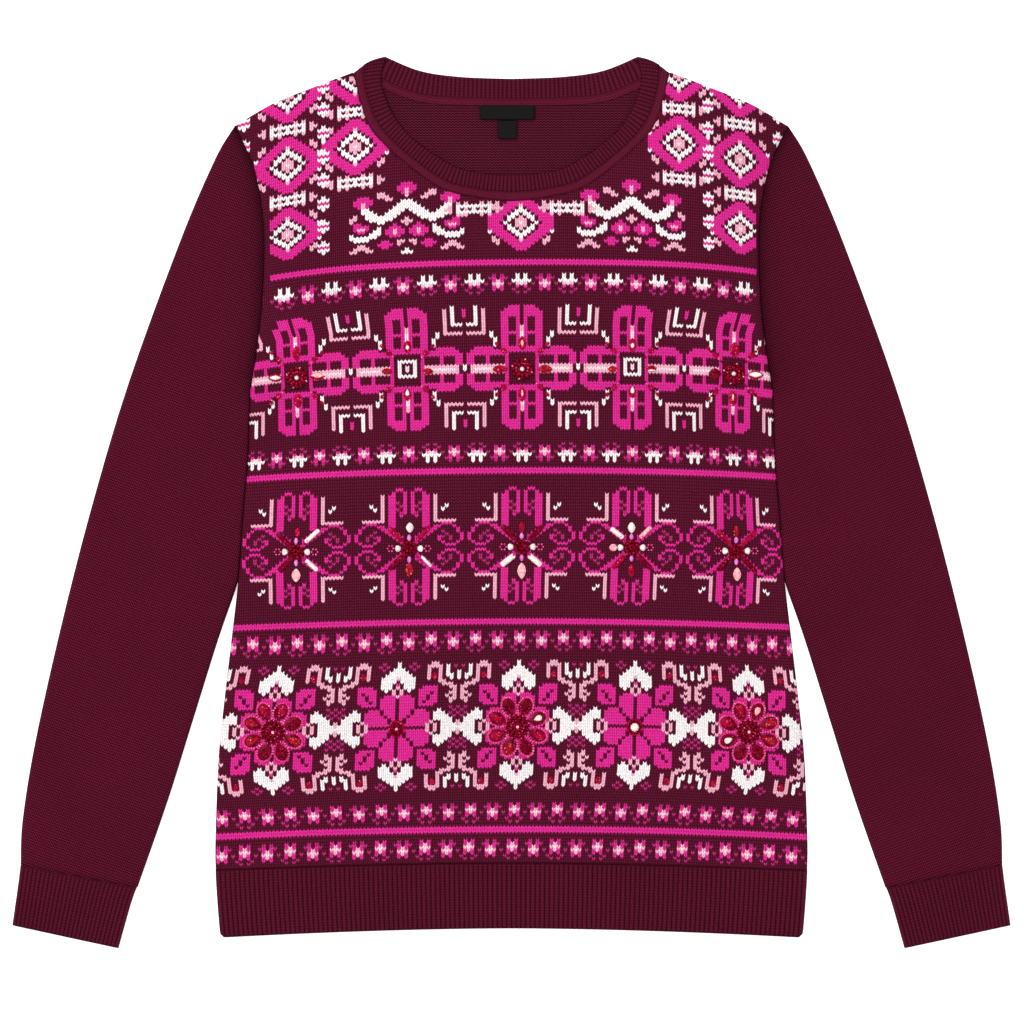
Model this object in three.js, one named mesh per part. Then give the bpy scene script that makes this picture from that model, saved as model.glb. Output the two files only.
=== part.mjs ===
// Fair isle jumper laid flat on its back, in millimetres, +Z up off the surface.
// X runs across the garment and Y from its hem to its neck. The origin lies on the surface
// under the middle of the garment.
import * as THREE from 'three';

// Knitted cloth, as thickness in each layer
const FRONT_THICKNESS = 2.4;
const BACK_THICKNESS = 1.8;
const SLEEVE_THICKNESS = 1.7;
const BAND_THICKNESS = 2.0;
const LABEL_THICKNESS = 1.0;

// Play between pieces that touch on the real garment
const SEAM_GAP = 0.3;
const SLEEVE_SLIT = 0.4;

// Heights of the layers above the surface
const BACK_TOP = BACK_THICKNESS;
const FRONT_UNDER = BACK_TOP + SEAM_GAP;
const FRONT_TOP = FRONT_UNDER + FRONT_THICKNESS;
const SLEEVE_TOP = 2 * SLEEVE_THICKNESS + SLEEVE_SLIT;
const SLEEVE_MIDDLE = SLEEVE_TOP / 2;
const SLEEVE_CROWN = 0.4;
const SLEEVE_FOLD_REACH = 4.0;
const SLEEVE_BODY_GAP = 0.6;
const SEAM_CLOSING = 30;

// Soft round of the cloth where it folds over at a side, and the light round at a seam
const FOLD_REACH = 5.0;
const FOLD_DROP = 1.9;
const SEAM_SOFTNESS = 0.16;
const BACK_FOLD_REACH = 2.4;
const BACK_FOLD_LIFT = 1.2;

// Ribs of the welts: how many show and how far they stand
const HEM_RIBS = 124;
const CUFF_RIBS = 24;
const NECK_RIBS_FRONT = 108;
const NECK_RIBS_BACK = 58;
const RIB_HEIGHT = 0.6;

// Welts and bands
const HEM_MIDDLE_Y = -313.4;
const HEM_DIP = 6.8;
const HEM_DIP_POWER = 1.7;
const HEM_SEAM_Y = -265.6;
const HEM_SEAM_DIP = 5.1;
const HEM_HALF_WIDTH = 214.2;
const HEM_SIDE_ROUND = 0.9;
const HEM_FOLD_DROP = 1.2;
const HEM_ROWS = [
  { down: 0, halfWidth: 217.7, rib: 0, lower: 0.2 },
  { down: 0.05, halfWidth: 217.5, rib: RIB_HEIGHT, lower: 0 },
  { down: 0.5, halfWidth: 216.0, rib: RIB_HEIGHT, lower: 0 },
  { down: 0.96, halfWidth: 214.2, rib: RIB_HEIGHT, lower: 0.15 },
  { down: 1, halfWidth: 212.8, rib: 0, lower: 0.5 },
];
const CUFF_ROWS = [
  { down: 0, rib: 0.12 },
  { down: 0.06, rib: RIB_HEIGHT },
  { down: 0.5, rib: RIB_HEIGHT },
  { down: 0.95, rib: RIB_HEIGHT },
  { down: 1, rib: 0.12 },
];
const NECK_SEAM_GAP = 0.25;
const NECK_RIM_SHARE = 0.05;
const NECK_RIB_SHARE = 0.7;
const NECK_ROLL_SHARE = 0.86;
const NECK_ROLL_RISE = 0.3;
const NECK_RIM_DROP = 0.7;

// Woven labels inside the back neck, left bare
const LABEL_WIDTH = 40.5;
const LABEL_DEPTH = 10.8;
const LABEL_TOP_Y = 292.2;
const LABEL_UNDER = BACK_TOP + SEAM_GAP;
const SIZE_LABEL_WIDTH = 14.2;
const SIZE_LABEL_DEPTH = 14.0;
const LABEL_CORNER = 0.8;
const LABEL_OFFSET_X = -3.0;
const SIZE_LABEL_TOP_Y = LABEL_TOP_Y - LABEL_DEPTH - SEAM_GAP;

// Right half of the garment's outline, as it lies, seen from above
const SIDE_EDGE = [
  { x: 217.9, y: -270.7 },
  { x: 218.1, y: -248.6 },
  { x: 215.9, y: -189.8 },
  { x: 211.5, y: -145.6 },
  { x: 206.3, y: -101.5 },
  { x: 200.7, y: -51.5 },
  { x: 197.5, y: -7.4 },
  { x: 194.2, y: 30.0 },
  { x: 192.6, y: 80.9 },
];
const ARMHOLE_SEAM = [
  { x: 192.6, y: 80.9 },
  { x: 186.5, y: 114.8 },
  { x: 177.6, y: 153.0 },
  { x: 176.4, y: 200.8 },
  { x: 184.3, y: 239.8 },
  { x: 193.4, y: 260.5 },
  { x: 200.5, y: 279.0 },
];
const SHOULDER_FOLD = [
  { x: 200.5, y: 279.0 },
  { x: 176.9, y: 292.8 },
  { x: 144.5, y: 306.0 },
  { x: 115.1, y: 317.3 },
];
const FRONT_NECK_SEAM = [
  { x: 115.1, y: 317.3 },
  { x: 110.7, y: 295.0 },
  { x: 98.2, y: 269.2 },
  { x: 57.0, y: 234.7 },
  { x: 26.0, y: 225.0 },
  { x: 0.0, y: 222.2 },
];
const FRONT_NECK_EDGE = [
  { x: 92.3, y: 328.1 },
  { x: 94.9, y: 305.5 },
  { x: 79.1, y: 274.4 },
  { x: 46.0, y: 249.5 },
  { x: 23.0, y: 242.3 },
  { x: 0.0, y: 240.8 },
];
const BACK_NECK_SEAM = [
  { x: 115.1, y: 317.3 },
  { x: 93.1, y: 305.4 },
  { x: 60.7, y: 295.0 },
  { x: 0.0, y: 292.8 },
];
const BACK_NECK_EDGE = [
  { x: 92.3, y: 328.1 },
  { x: 67.3, y: 317.8 },
  { x: 37.9, y: 313.4 },
  { x: 0.0, y: 311.9 },
];
const SLEEVE_OUTER_EDGE = [
  { x: 203.4, y: 277.2 },
  { x: 218.8, y: 251.6 },
  { x: 243.9, y: 192.7 },
  { x: 281.4, y: 89.7 },
  { x: 307.9, y: 1.5 },
  { x: 330.7, y: -86.8 },
  { x: 350.5, y: -175.1 },
  { x: 360.1, y: -233.9 },
  { x: 361.6, y: -267.0 },
];
const SLEEVE_INNER_EDGE = [
  { x: 192.6, y: 80.9 },
  { x: 194.2, y: 30.0 },
  { x: 197.5, y: -7.4 },
  { x: 200.7, y: -51.5 },
  { x: 203.6, y: -64.0 },
  { x: 216.6, y: -101.5 },
  { x: 235.0, y: -160.4 },
  { x: 253.4, y: -219.2 },
  { x: 274.6, y: -281.7 },
];
const CUFF_OUTER_EDGE = [
  { x: 361.6, y: -267.3 },
  { x: 363.6, y: -283.0 },
  { x: 367.6, y: -311.0 },
];
const CUFF_INNER_EDGE = [
  { x: 274.7, y: -282.0 },
  { x: 280.5, y: -298.0 },
  { x: 289.3, y: -328.0 },
];

// Points along each stretch of outline
const SIDE_STEPS = 12;
const ARMHOLE_STEPS = 12;
const SHOULDER_STEPS = 6;
const NECK_STEPS = 14;
const HEM_STEPS = 10;
const FOLD_STEPS = 3;
const SLEEVE_STEPS = 12;
const SLEEVE_TOP_STEPS = 6;
const HAIRPIN_STEPS = 4;

// Soft swells of a sleeve's upper wall: below the shoulder, at the elbow and on the forearm
const SLEEVE_FOLDS = [
  { along: 0.16, across: 0.45, reachAlong: 0.1, reachAcross: 0.22, rise: 0.9 },
  { along: 0.38, across: 0.72, reachAlong: 0.13, reachAcross: 0.18, rise: 1.0 },
  { along: 0.62, across: 0.4, reachAlong: 0.16, reachAcross: 0.25, rise: 0.7 },
];

// Sewn stones on the front, in groups that repeat along three bands of the pattern
const STONE_GROUPS = {
  windowFlower: [
    { x: 0, y: 19.0, length: 10.4, width: 5.6, turn: 90 },
    { x: 0, y: -18.4, length: 11.0, width: 5.6, turn: 90 },
    { x: -17.6, y: 0, length: 10.4, width: 5.6, turn: 0 },
    { x: 17.0, y: 0, length: 10.4, width: 5.6, turn: 0 },
    { x: 0, y: -0.8, length: 11.6, width: 10.8, turn: 0 },
  ],
  scrollCross: [
    { x: -9.4, y: 9.4, length: 15.0, width: 5.4, turn: 135 },
    { x: 9.4, y: 9.4, length: 15.0, width: 5.4, turn: 45 },
    { x: -8.8, y: -8.8, length: 14.0, width: 5.2, turn: 45 },
    { x: 8.8, y: -8.8, length: 14.0, width: 5.2, turn: 135 },
    { x: 0, y: 15.6, length: 7.6, width: 5.0, turn: 90 },
    { x: 0, y: -18.0, length: 11.4, width: 6.2, turn: 90 },
  ],
  jewelledRose: [
    { x: 0, y: 0, length: 9.4, width: 9.0, turn: 0 },
    ...Array.from({ length: 8 }, (_, petal) => roseStone(22.5 + petal * 45)),
  ],
  roseHeart: [{ x: 0, y: 0, length: 11.6, width: 11.0, turn: 0 }],
};
const STONE_PLACES = [
  { group: 'windowFlower', x: -157.8, y: 96.8 },
  { group: 'windowFlower', x: -76.9, y: 98.2 },
  { group: 'windowFlower', x: 7.6, y: 98.6 },
  { group: 'windowFlower', x: 88.6, y: 98.2 },
  { group: 'windowFlower', x: 160.7, y: 96.8 },
  { group: 'scrollCross', x: -157.8, y: -34.2 },
  { group: 'scrollCross', x: -74.7, y: -32.6 },
  { group: 'scrollCross', x: 7.6, y: -32.2 },
  { group: 'scrollCross', x: 88.6, y: -32.6 },
  { group: 'scrollCross', x: 166.6, y: -34.2 },
  { group: 'jewelledRose', x: -172.5, y: -166.9 },
  { group: 'roseHeart', x: -85.7, y: -165.7 },
  { group: 'jewelledRose', x: 4.2, y: -165.1 },
  { group: 'roseHeart', x: 89.4, y: -165.7 },
  { group: 'jewelledRose', x: 171.8, y: -166.9 },
];
const STONE_HEIGHT = 2.2;
const STONE_RIDGE_SHARE = 0.3;

// Yarn and woven tape
const BURGUNDY = new THREE.MeshStandardMaterial({ color: 0x5a1733, roughness: 0.92, metalness: 0 });
const PATTERNED = new THREE.MeshStandardMaterial({ color: 0x8a1f5a, roughness: 0.9, metalness: 0 });
const BLACK_TAPE = new THREE.MeshStandardMaterial({ color: 0x15171a, roughness: 0.6, metalness: 0 });

// A stone on a rose's petal, pointing away from the flower's middle
function roseStone(turn) {
  const radians = THREE.MathUtils.degToRad(turn);
  const reach = 14.6;
  return {
    x: reach * Math.cos(radians),
    y: reach * Math.sin(radians),
    length: 11.6,
    width: 7.6,
    turn,
  };
}

// Lines in plan

// A smooth line through a table's rows, a row's point, and the line as evenly spaced points
function smoothCurve(rows) {
  return new THREE.SplineCurve(rows.map(pointOf));
}

function pointOf(row) {
  return new THREE.Vector2(row.x, row.y);
}

function smoothLine(rows, steps) {
  return smoothCurve(rows).getSpacedPoints(steps);
}

// The same line seen in a mirror along Y, run the other way
function mirrored(points) {
  return points.map((point) => new THREE.Vector2(-point.x, point.y)).reverse();
}

// A smooth line over both halves of the garment, from right to left
function fullLine(rows, steps) {
  const right = smoothLine(rows, steps);
  return [...right, ...mirrored(right).slice(1)];
}

// The way that the neck's fold faces at the right shoulder, square to the fold
function neckFoldOutwards() {
  const [edge] = FRONT_NECK_EDGE;
  const [seam] = FRONT_NECK_SEAM;
  return new THREE.Vector2(edge.y - seam.y, seam.x - edge.x).normalize();
}

// A neck line with its first row drawn in from the fold by the room that the turn needs
function drawnIn(rows) {
  const outwards = neckFoldOutwards();
  const room = BAND_THICKNESS + SEAM_GAP / 2;
  const [first, ...rest] = rows;
  return [{ x: first.x - outwards.x * room, y: first.y - outwards.y * room }, ...rest];
}

// How far down the hem edge or its seam lies at a distance from the middle
function dipAt(x, depth) {
  return depth * (Math.abs(x) / HEM_HALF_WIDTH) ** HEM_DIP_POWER;
}

// Outline of a body panel above its hem, with the given neck line, run anticlockwise.
// Each point says how softly the cloth turns over there.
function bodyOutline(neckRows) {
  const right = [
    ...marked(smoothLine(SIDE_EDGE, SIDE_STEPS), 1),
    ...marked(smoothLine(ARMHOLE_SEAM, ARMHOLE_STEPS).slice(1), SEAM_SOFTNESS),
    ...marked(smoothLine(SHOULDER_FOLD, SHOULDER_STEPS).slice(1, -1), 1),
    ...marked([pointOf(SHOULDER_FOLD[SHOULDER_FOLD.length - 1])], SEAM_SOFTNESS),
    ...marked(smoothLine(drawnIn(neckRows), NECK_STEPS), SEAM_SOFTNESS),
  ];
  const left = right
    .slice(0, -1)
    .map((spot) => ({ point: new THREE.Vector2(-spot.point.x, spot.point.y), softness: spot.softness }))
    .reverse();
  const hem = [];
  for (let step = 1; step < 2 * HEM_STEPS; step += 1) {
    const x = SIDE_EDGE[0].x * (step / HEM_STEPS - 1);
    hem.push(new THREE.Vector2(x, HEM_SEAM_Y - dipAt(x, HEM_SEAM_DIP)));
  }
  return [...right, ...left, ...marked(hem, SEAM_SOFTNESS)];
}

function marked(points, softness) {
  return points.map((point) => ({ point, softness }));
}

// The outline moved in square to its edges, by a distance that its softness scales
function insetOutline(outline, distance, plain = 0) {
  return outline.map((spot, index) => {
    const before = outline[(index + outline.length - 1) % outline.length].point;
    const after = outline[(index + 1) % outline.length].point;
    const first = inwardNormal(before, spot.point);
    const second = inwardNormal(spot.point, after);
    const move = first.clone().add(second);
    const reach = (distance * spot.softness + plain) / Math.max(1 + first.dot(second), 0.4);
    return spot.point.clone().addScaledVector(move, reach);
  });
}

function inwardNormal(from, to) {
  const run = to.clone().sub(from).normalize();
  return new THREE.Vector2(-run.y, run.x);
}

// Solids from rings and sections

// A closed solid from a list of points and triangles
function solid(points, triangles) {
  const geometry = new THREE.BufferGeometry();
  const positions = new Float32Array(points.flatMap((point) => [point.x, point.y, point.z]));
  geometry.setAttribute('position', new THREE.BufferAttribute(positions, 3));
  geometry.setIndex(triangles.flat());
  geometry.computeVertexNormals();
  return geometry;
}

// Triangles of a flat outline with holes, all turned anticlockwise
function flatFaces(outline, holes) {
  const points = [...outline, ...holes.flat()];
  return THREE.ShapeUtils.triangulateShape(outline, holes).map(([a, b, c]) => {
    const turn = (points[b].x - points[a].x) * (points[c].y - points[a].y)
      - (points[b].y - points[a].y) * (points[c].x - points[a].x);
    return turn > 0 ? [a, b, c] : [a, c, b];
  });
}

// A flat panel: rings at growing heights joined by bands, closed below and above.
// Each raised stone is a hole in the top face with a faceted top of its own.
function panelSolid(rings, stones = []) {
  const count = rings[0].plan.length;
  const points = rings.flatMap((ring) => ring.plan.map((point) => new THREE.Vector3(point.x, point.y, ring.z)));
  const triangles = flatFaces(rings[0].plan, []).map(([a, b, c]) => [a, c, b]);
  for (let ring = 0; ring + 1 < rings.length; ring += 1) {
    for (let index = 0; index < count; index += 1) {
      const next = (index + 1) % count;
      const low = ring * count;
      const high = low + count;
      triangles.push([low + index, low + next, high + next]);
      triangles.push([low + index, high + next, high + index]);
    }
  }
  const top = rings[rings.length - 1];
  const topStart = points.length - count;
  const holes = stones.map((stone) => stone.base);
  const holeStart = points.length;
  stones.forEach((stone) => {
    points.push(...stone.base.map((point) => new THREE.Vector3(point.x, point.y, top.z)));
  });
  const place = (index) => (index < count ? topStart + index : holeStart + index - count);
  triangles.push(...flatFaces(top.plan, holes).map((face) => face.map(place)));
  let base = holeStart;
  stones.forEach((stone) => {
    const ridge = points.length;
    points.push(...stone.ridge.map((point) => new THREE.Vector3(point.x, point.y, top.z + STONE_HEIGHT)));
    triangles.push(...STONE_FACES.map((face) => face.map((corner) => (
      corner < stone.base.length ? base + corner : ridge + corner - stone.base.length
    ))));
    base += stone.base.length;
  });
  return solid(points, triangles);
}

// Six corners round a stone's base, and the two ends of its ridge after them
const STONE_FACES = [
  [0, 1, 6], [1, 2, 6], [2, 7, 6], [2, 3, 7], [3, 4, 7], [4, 5, 7], [5, 6, 7], [5, 0, 6],
];

// A stone's base corners, anticlockwise, and its ridge, turned and put in place
function stoneShape(row, place) {
  const turn = THREE.MathUtils.degToRad(row.turn);
  const centre = new THREE.Vector2(place.x + row.x, place.y + row.y);
  const half = row.length / 2;
  const side = row.width / 2;
  const ridgeEnd = half * STONE_RIDGE_SHARE;
  const corners = [[-half, 0], [-ridgeEnd, -side], [ridgeEnd, -side], [half, 0], [ridgeEnd, side], [-ridgeEnd, side]];
  const origin = new THREE.Vector2();
  const put = ([x, y]) => new THREE.Vector2(x, y).rotateAround(origin, turn).add(centre);
  return { base: corners.map(put), ridge: [[-ridgeEnd, 0], [ridgeEnd, 0]].map(put) };
}

// A solid run through a row of closed sections. ends holds the faces of its first and last
// sections. Without them the last section joins the first one, as in a ring.
function loftSolid(sections, ends = null) {
  const count = sections[0].length;
  const points = sections.flat();
  const triangles = [];
  const last = ends ? sections.length - 1 : sections.length;
  for (let section = 0; section < last; section += 1) {
    const low = section * count;
    const high = ((section + 1) % sections.length) * count;
    for (let index = 0; index < count; index += 1) {
      const next = (index + 1) % count;
      triangles.push([low + index, low + next, high + next]);
      triangles.push([low + index, high + next, high + index]);
    }
  }
  if (ends) {
    const finish = points.length - count;
    triangles.push(...ends[0].map(([a, b, c]) => [a, c, b]));
    triangles.push(...ends[1].map((face) => face.map((index) => finish + index)));
  }
  return outward(solid(points, triangles));
}

// Turns every face over where a solid came out inside out
function outward(geometry) {
  const place = geometry.getAttribute('position');
  const index = geometry.getIndex().array;
  const corner = [new THREE.Vector3(), new THREE.Vector3(), new THREE.Vector3()];
  let volume = 0;
  for (let face = 0; face < index.length; face += 3) {
    corner.forEach((point, side) => point.fromBufferAttribute(place, index[face + side]));
    volume += corner[0].dot(corner[1].clone().cross(corner[2]));
  }
  if (volume < 0) {
    for (let face = 0; face < index.length; face += 3) {
      [index[face + 1], index[face + 2]] = [index[face + 2], index[face + 1]];
    }
  }
  geometry.computeVertexNormals();
  return geometry;
}

// Body panels

// Rings of the front: upright at its edge, then rounding over to its flat top
function frontRings() {
  const outline = bodyOutline(FRONT_NECK_SEAM);
  const seam = SEAM_GAP / 2;
  const rings = [{ plan: insetOutline(outline, 0, seam), z: FRONT_UNDER }];
  for (let step = 0; step <= FOLD_STEPS; step += 1) {
    const turn = (step / FOLD_STEPS) * (Math.PI / 2);
    rings.push({
      plan: insetOutline(outline, FOLD_REACH * (1 - Math.cos(turn)), seam),
      z: FRONT_TOP - FOLD_DROP * (1 - Math.sin(turn)),
    });
  }
  return rings;
}

// Rings of the back: its underside lies flat and its edge turns up a little
function backRings() {
  const outline = bodyOutline(BACK_NECK_SEAM);
  const seam = SEAM_GAP / 2;
  const rings = [];
  for (let step = FOLD_STEPS; step >= 0; step -= 1) {
    const turn = (step / FOLD_STEPS) * (Math.PI / 2);
    rings.push({
      plan: insetOutline(outline, BACK_FOLD_REACH * (1 - Math.cos(turn)), seam),
      z: BACK_FOLD_LIFT * (1 - Math.sin(turn)),
    });
  }
  rings.push({ plan: insetOutline(outline, 0, seam), z: BACK_TOP });
  return rings;
}

function frontStones() {
  return STONE_PLACES.flatMap((place) => STONE_GROUPS[place.group].map((row) => stoneShape(row, place)));
}

// Hem welt

// One section across the welt: a flat underside, upright sides and a ribbed top
function hemSection(row) {
  const width = row.halfWidth;
  const base = FRONT_TOP - RIB_HEIGHT - row.lower;
  const corners = [];
  for (let step = 0; step <= 2 * HEM_STEPS; step += 1) {
    corners.push({ x: width * (step / HEM_STEPS - 1), z: FRONT_UNDER });
  }
  corners.push({ x: width, z: base - HEM_FOLD_DROP });
  for (let point = 2 * HEM_RIBS; point >= 0; point -= 1) {
    const x = (width - HEM_SIDE_ROUND) * (point / HEM_RIBS - 1);
    const fold = HEM_FOLD_DROP * Math.max(0, 1 - (width - Math.abs(x)) / FOLD_REACH) ** 2;
    corners.push({ x, z: base + (point % 2) * row.rib - fold });
  }
  corners.push({ x: -width, z: base - HEM_FOLD_DROP });
  return corners.map(({ x, z }) => new THREE.Vector3(x, row.y - dipAt(x, row.dip), z));
}

// Faces between a section's underside and its top, which both run across the garment
function stripFaces(section) {
  const faces = [];
  let low = 0;
  let high = section.length - 1;
  const lowEnd = 2 * HEM_STEPS;
  while (low < lowEnd || high > lowEnd + 1) {
    const stepLow = low < lowEnd && (high === lowEnd + 1 || section[low + 1].x < section[high - 1].x);
    faces.push(stepLow ? [low, low + 1, high] : [low, high - 1, high]);
    low += stepLow ? 1 : 0;
    high -= stepLow ? 0 : 1;
  }
  return faces;
}

// The front welt from its seam down to its free edge, ribbed on its upper side
function hemFront() {
  const top = HEM_SEAM_Y - SEAM_GAP;
  const sections = HEM_ROWS.map((row) => hemSection({
    ...row,
    y: top + (HEM_MIDDLE_Y - top) * row.down,
    dip: HEM_SEAM_DIP + (HEM_DIP - HEM_SEAM_DIP) * row.down,
  }));
  return loftSolid(sections, [stripFaces(sections[0]), stripFaces(sections[sections.length - 1])]);
}

// The back welt lies flat under the front one
function hemBack() {
  const side = HEM_ROWS.map((row) => {
    const y = HEM_SEAM_Y - SEAM_GAP + (HEM_MIDDLE_Y - HEM_SEAM_Y + SEAM_GAP) * row.down;
    const dip = HEM_SEAM_DIP + (HEM_DIP - HEM_SEAM_DIP) * row.down;
    return new THREE.Vector2(row.halfWidth, y - dipAt(row.halfWidth, dip));
  });
  const lower = dippedLine(HEM_MIDDLE_Y, HEM_DIP, side[side.length - 1].x);
  const upper = dippedLine(HEM_SEAM_Y - SEAM_GAP, HEM_SEAM_DIP, side[0].x).reverse();
  const outline = [
    ...lower,
    ...side.slice(1, -1).reverse(),
    ...upper,
    ...side.slice(1, -1).map((point) => new THREE.Vector2(-point.x, point.y)),
  ];
  const soft = marked(outline, 1);
  return panelSolid([
    { plan: insetOutline(soft, BACK_FOLD_LIFT), z: 0 },
    { plan: outline, z: BACK_FOLD_LIFT / 2 },
    { plan: outline, z: BACK_TOP },
  ]);
}

// A line across the garment that dips towards its sides, from left to right
function dippedLine(y, depth, halfWidth) {
  const points = [];
  for (let step = 0; step <= 2 * HEM_STEPS; step += 1) {
    const x = halfWidth * (step / HEM_STEPS - 1);
    points.push(new THREE.Vector2(x, y - dipAt(x, depth)));
  }
  return points;
}

// Sleeves and cuffs

// Section of a sleeve folded flat, as distances from its outer fold and heights: one wall
// that runs from the seam edge over the top, round the outer fold and back below. closed is
// 0 along the armhole, where the two ends lie side by side, and 1 where they meet at a seam.
function foldedSection({ width, closed, rise, ribs, ribRise }) {
  const wall = SLEEVE_THICKNESS;
  const halfSeam = SEAM_GAP / 2;
  const drop = (SLEEVE_MIDDLE - halfSeam) * closed;
  const slitDrop = (SLEEVE_SLIT / 2 - halfSeam) * closed;
  const reach = Math.min(SLEEVE_FOLD_REACH, width * 0.3);
  const tuck = wall * closed;
  const corners = [
    { s: width, z: SLEEVE_TOP - drop },
    { s: width - 0.25 * reach, z: SLEEVE_TOP - 0.3 * drop },
  ];
  const topPoints = ribs > 0 ? 2 * ribs : SLEEVE_TOP_STEPS;
  for (let point = topPoints; point >= 0; point -= 1) {
    const share = point / topPoints;
    const s = reach + (width - 2 * reach) * share;
    const crown = SLEEVE_CROWN * (1 - (2 * share - 1) ** 2);
    corners.push({ s, z: SLEEVE_TOP + crown + rise(s / width) + (point % 2) * ribRise });
  }
  corners.push(
    { s: 0.25 * reach, z: 0.8 * SLEEVE_TOP },
    { s: 0, z: SLEEVE_MIDDLE },
    { s: 0.25 * reach, z: 0.15 * SLEEVE_TOP },
    { s: 0.7 * reach, z: 0 },
    { s: width - (0.1 + 0.6 * closed) * reach, z: 0 },
    { s: width, z: drop },
    { s: width - tuck, z: wall + slitDrop },
    { s: wall + SLEEVE_SLIT, z: wall },
    { s: wall, z: SLEEVE_MIDDLE },
    { s: wall + SLEEVE_SLIT, z: SLEEVE_TOP - wall },
    { s: width - tuck, z: SLEEVE_TOP - wall - slitDrop },
  );
  return corners;
}

// Height of a sleeve's soft folds at a place on its upper wall
function sleeveRise(along, across) {
  return SLEEVE_FOLDS.reduce((total, fold) => {
    const down = (along - fold.along) / fold.reachAlong;
    const over = (across - fold.across) / fold.reachAcross;
    return total + fold.rise * Math.exp(-down * down - over * over);
  }, 0);
}

// A tube of cloth folded flat between stations that each have an outer and an inner place.
// side is 1 for the wearer's left arm, at +X, and -1 for its mirror image.
function foldedTube(stations, side, sectionAt) {
  const plans = [];
  const sections = stations.map((station) => {
    const run = station.inner.clone().sub(station.outer);
    const corners = sectionAt(run.length(), station.along);
    run.normalize();
    plans.push(corners);
    return corners.map((corner) => new THREE.Vector3(
      side * (station.outer.x + run.x * corner.s),
      station.outer.y + run.y * corner.s,
      corner.z,
    ));
  });
  const ends = [plans[0], plans[plans.length - 1]].map((corners) => (
    flatFaces(corners.map((corner) => new THREE.Vector2(corner.s, corner.z)), [])
  ));
  return loftSolid(sections, ends);
}

function sleeve(side) {
  const armhole = smoothLine(ARMHOLE_SEAM, ARMHOLE_STEPS).reverse();
  const under = smoothLine(SLEEVE_INNER_EDGE, SLEEVE_STEPS);
  const seamLine = [
    ...offsetLine(armhole, SEAM_GAP / 2).slice(0, -1),
    ...offsetLine(under, SLEEVE_BODY_GAP),
  ];
  const total = lineLength(seamLine);
  const armholeLength = lineLength(armhole);
  const outerCurve = smoothCurve(SLEEVE_OUTER_EDGE);
  const stations = seamLine.map((inner, index) => {
    const along = lineLength(seamLine.slice(0, index + 1)) / total;
    return { inner, outer: outerCurve.getPointAt(along), along };
  });
  return foldedTube(stations, side, (width, along) => {
    const pastUnderarm = (along * total - armholeLength) / SEAM_CLOSING + 0.5;
    return foldedSection({
      width,
      closed: THREE.MathUtils.clamp(pastUnderarm, 0, 1),
      rise: (across) => sleeveRise(along, across),
      ribs: 0,
      ribRise: 0,
    });
  });
}

function cuff(side) {
  const outerCurve = smoothCurve(CUFF_OUTER_EDGE);
  const innerCurve = smoothCurve(CUFF_INNER_EDGE);
  const stations = CUFF_ROWS.map((row) => ({
    outer: outerCurve.getPointAt(row.down),
    inner: innerCurve.getPointAt(row.down),
    along: row.down,
  }));
  return foldedTube(stations, side, (width, along) => foldedSection({
    width,
    closed: 1,
    rise: () => -RIB_HEIGHT / 2,
    ribs: CUFF_RIBS,
    ribRise: CUFF_ROWS.find((row) => row.down === along).rib,
  }));
}

function lineLength(line) {
  return line.slice(1).reduce((total, point, index) => total + point.distanceTo(line[index]), 0);
}

// A line moved square to itself, to its left as it runs
function offsetLine(line, distance) {
  return line.map((point, index) => {
    const before = line[Math.max(index - 1, 0)];
    const after = line[Math.min(index + 1, line.length - 1)];
    return point.clone().addScaledVector(inwardNormal(before, after), distance);
  });
}

// Neckband

// Section of the band at one place on its ring: its outer side from free edge to seam, then
// its inner side back. out is the way the outer side faces. ribbed tells which side is up.
function bandSection({ edge, seam, z, out, ribbed, valley }) {
  const half = BAND_THICKNESS / 2;
  const cut = valley ? RIB_HEIGHT : 0;
  const front = ribbed === 'outer' ? cut : 0;
  const back = ribbed === 'inner' ? cut : 0;
  const roll = ribbed === 'outer' ? NECK_ROLL_RISE : 0;
  const rim = ribbed === 'outer' ? NECK_RIM_DROP : 0;
  const rows = [
    { share: 0, rise: half - rim },
    { share: NECK_RIM_SHARE, rise: half - front },
    { share: NECK_RIB_SHARE, rise: half - front },
    { share: NECK_ROLL_SHARE, rise: half + roll },
    { share: 1, rise: half - rim / 2 },
    { share: 1, rise: -half },
    { share: NECK_RIB_SHARE, rise: back - half },
    { share: 0, rise: back - half },
  ];
  const across = seam.clone().sub(edge);
  return rows.map((row) => new THREE.Vector3(
    edge.x + across.x * row.share,
    edge.y + across.y * row.share,
    z,
  ).addScaledVector(out, row.rise));
}

// Both edges of one half of the band, from the right fold to the left one
function bandHalf(edgeRows, seamRows, ribs) {
  return {
    edge: fullLine(drawnIn(edgeRows), ribs),
    seam: offsetLine(fullLine(drawnIn(seamRows), ribs), -NECK_SEAM_GAP),
  };
}

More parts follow.
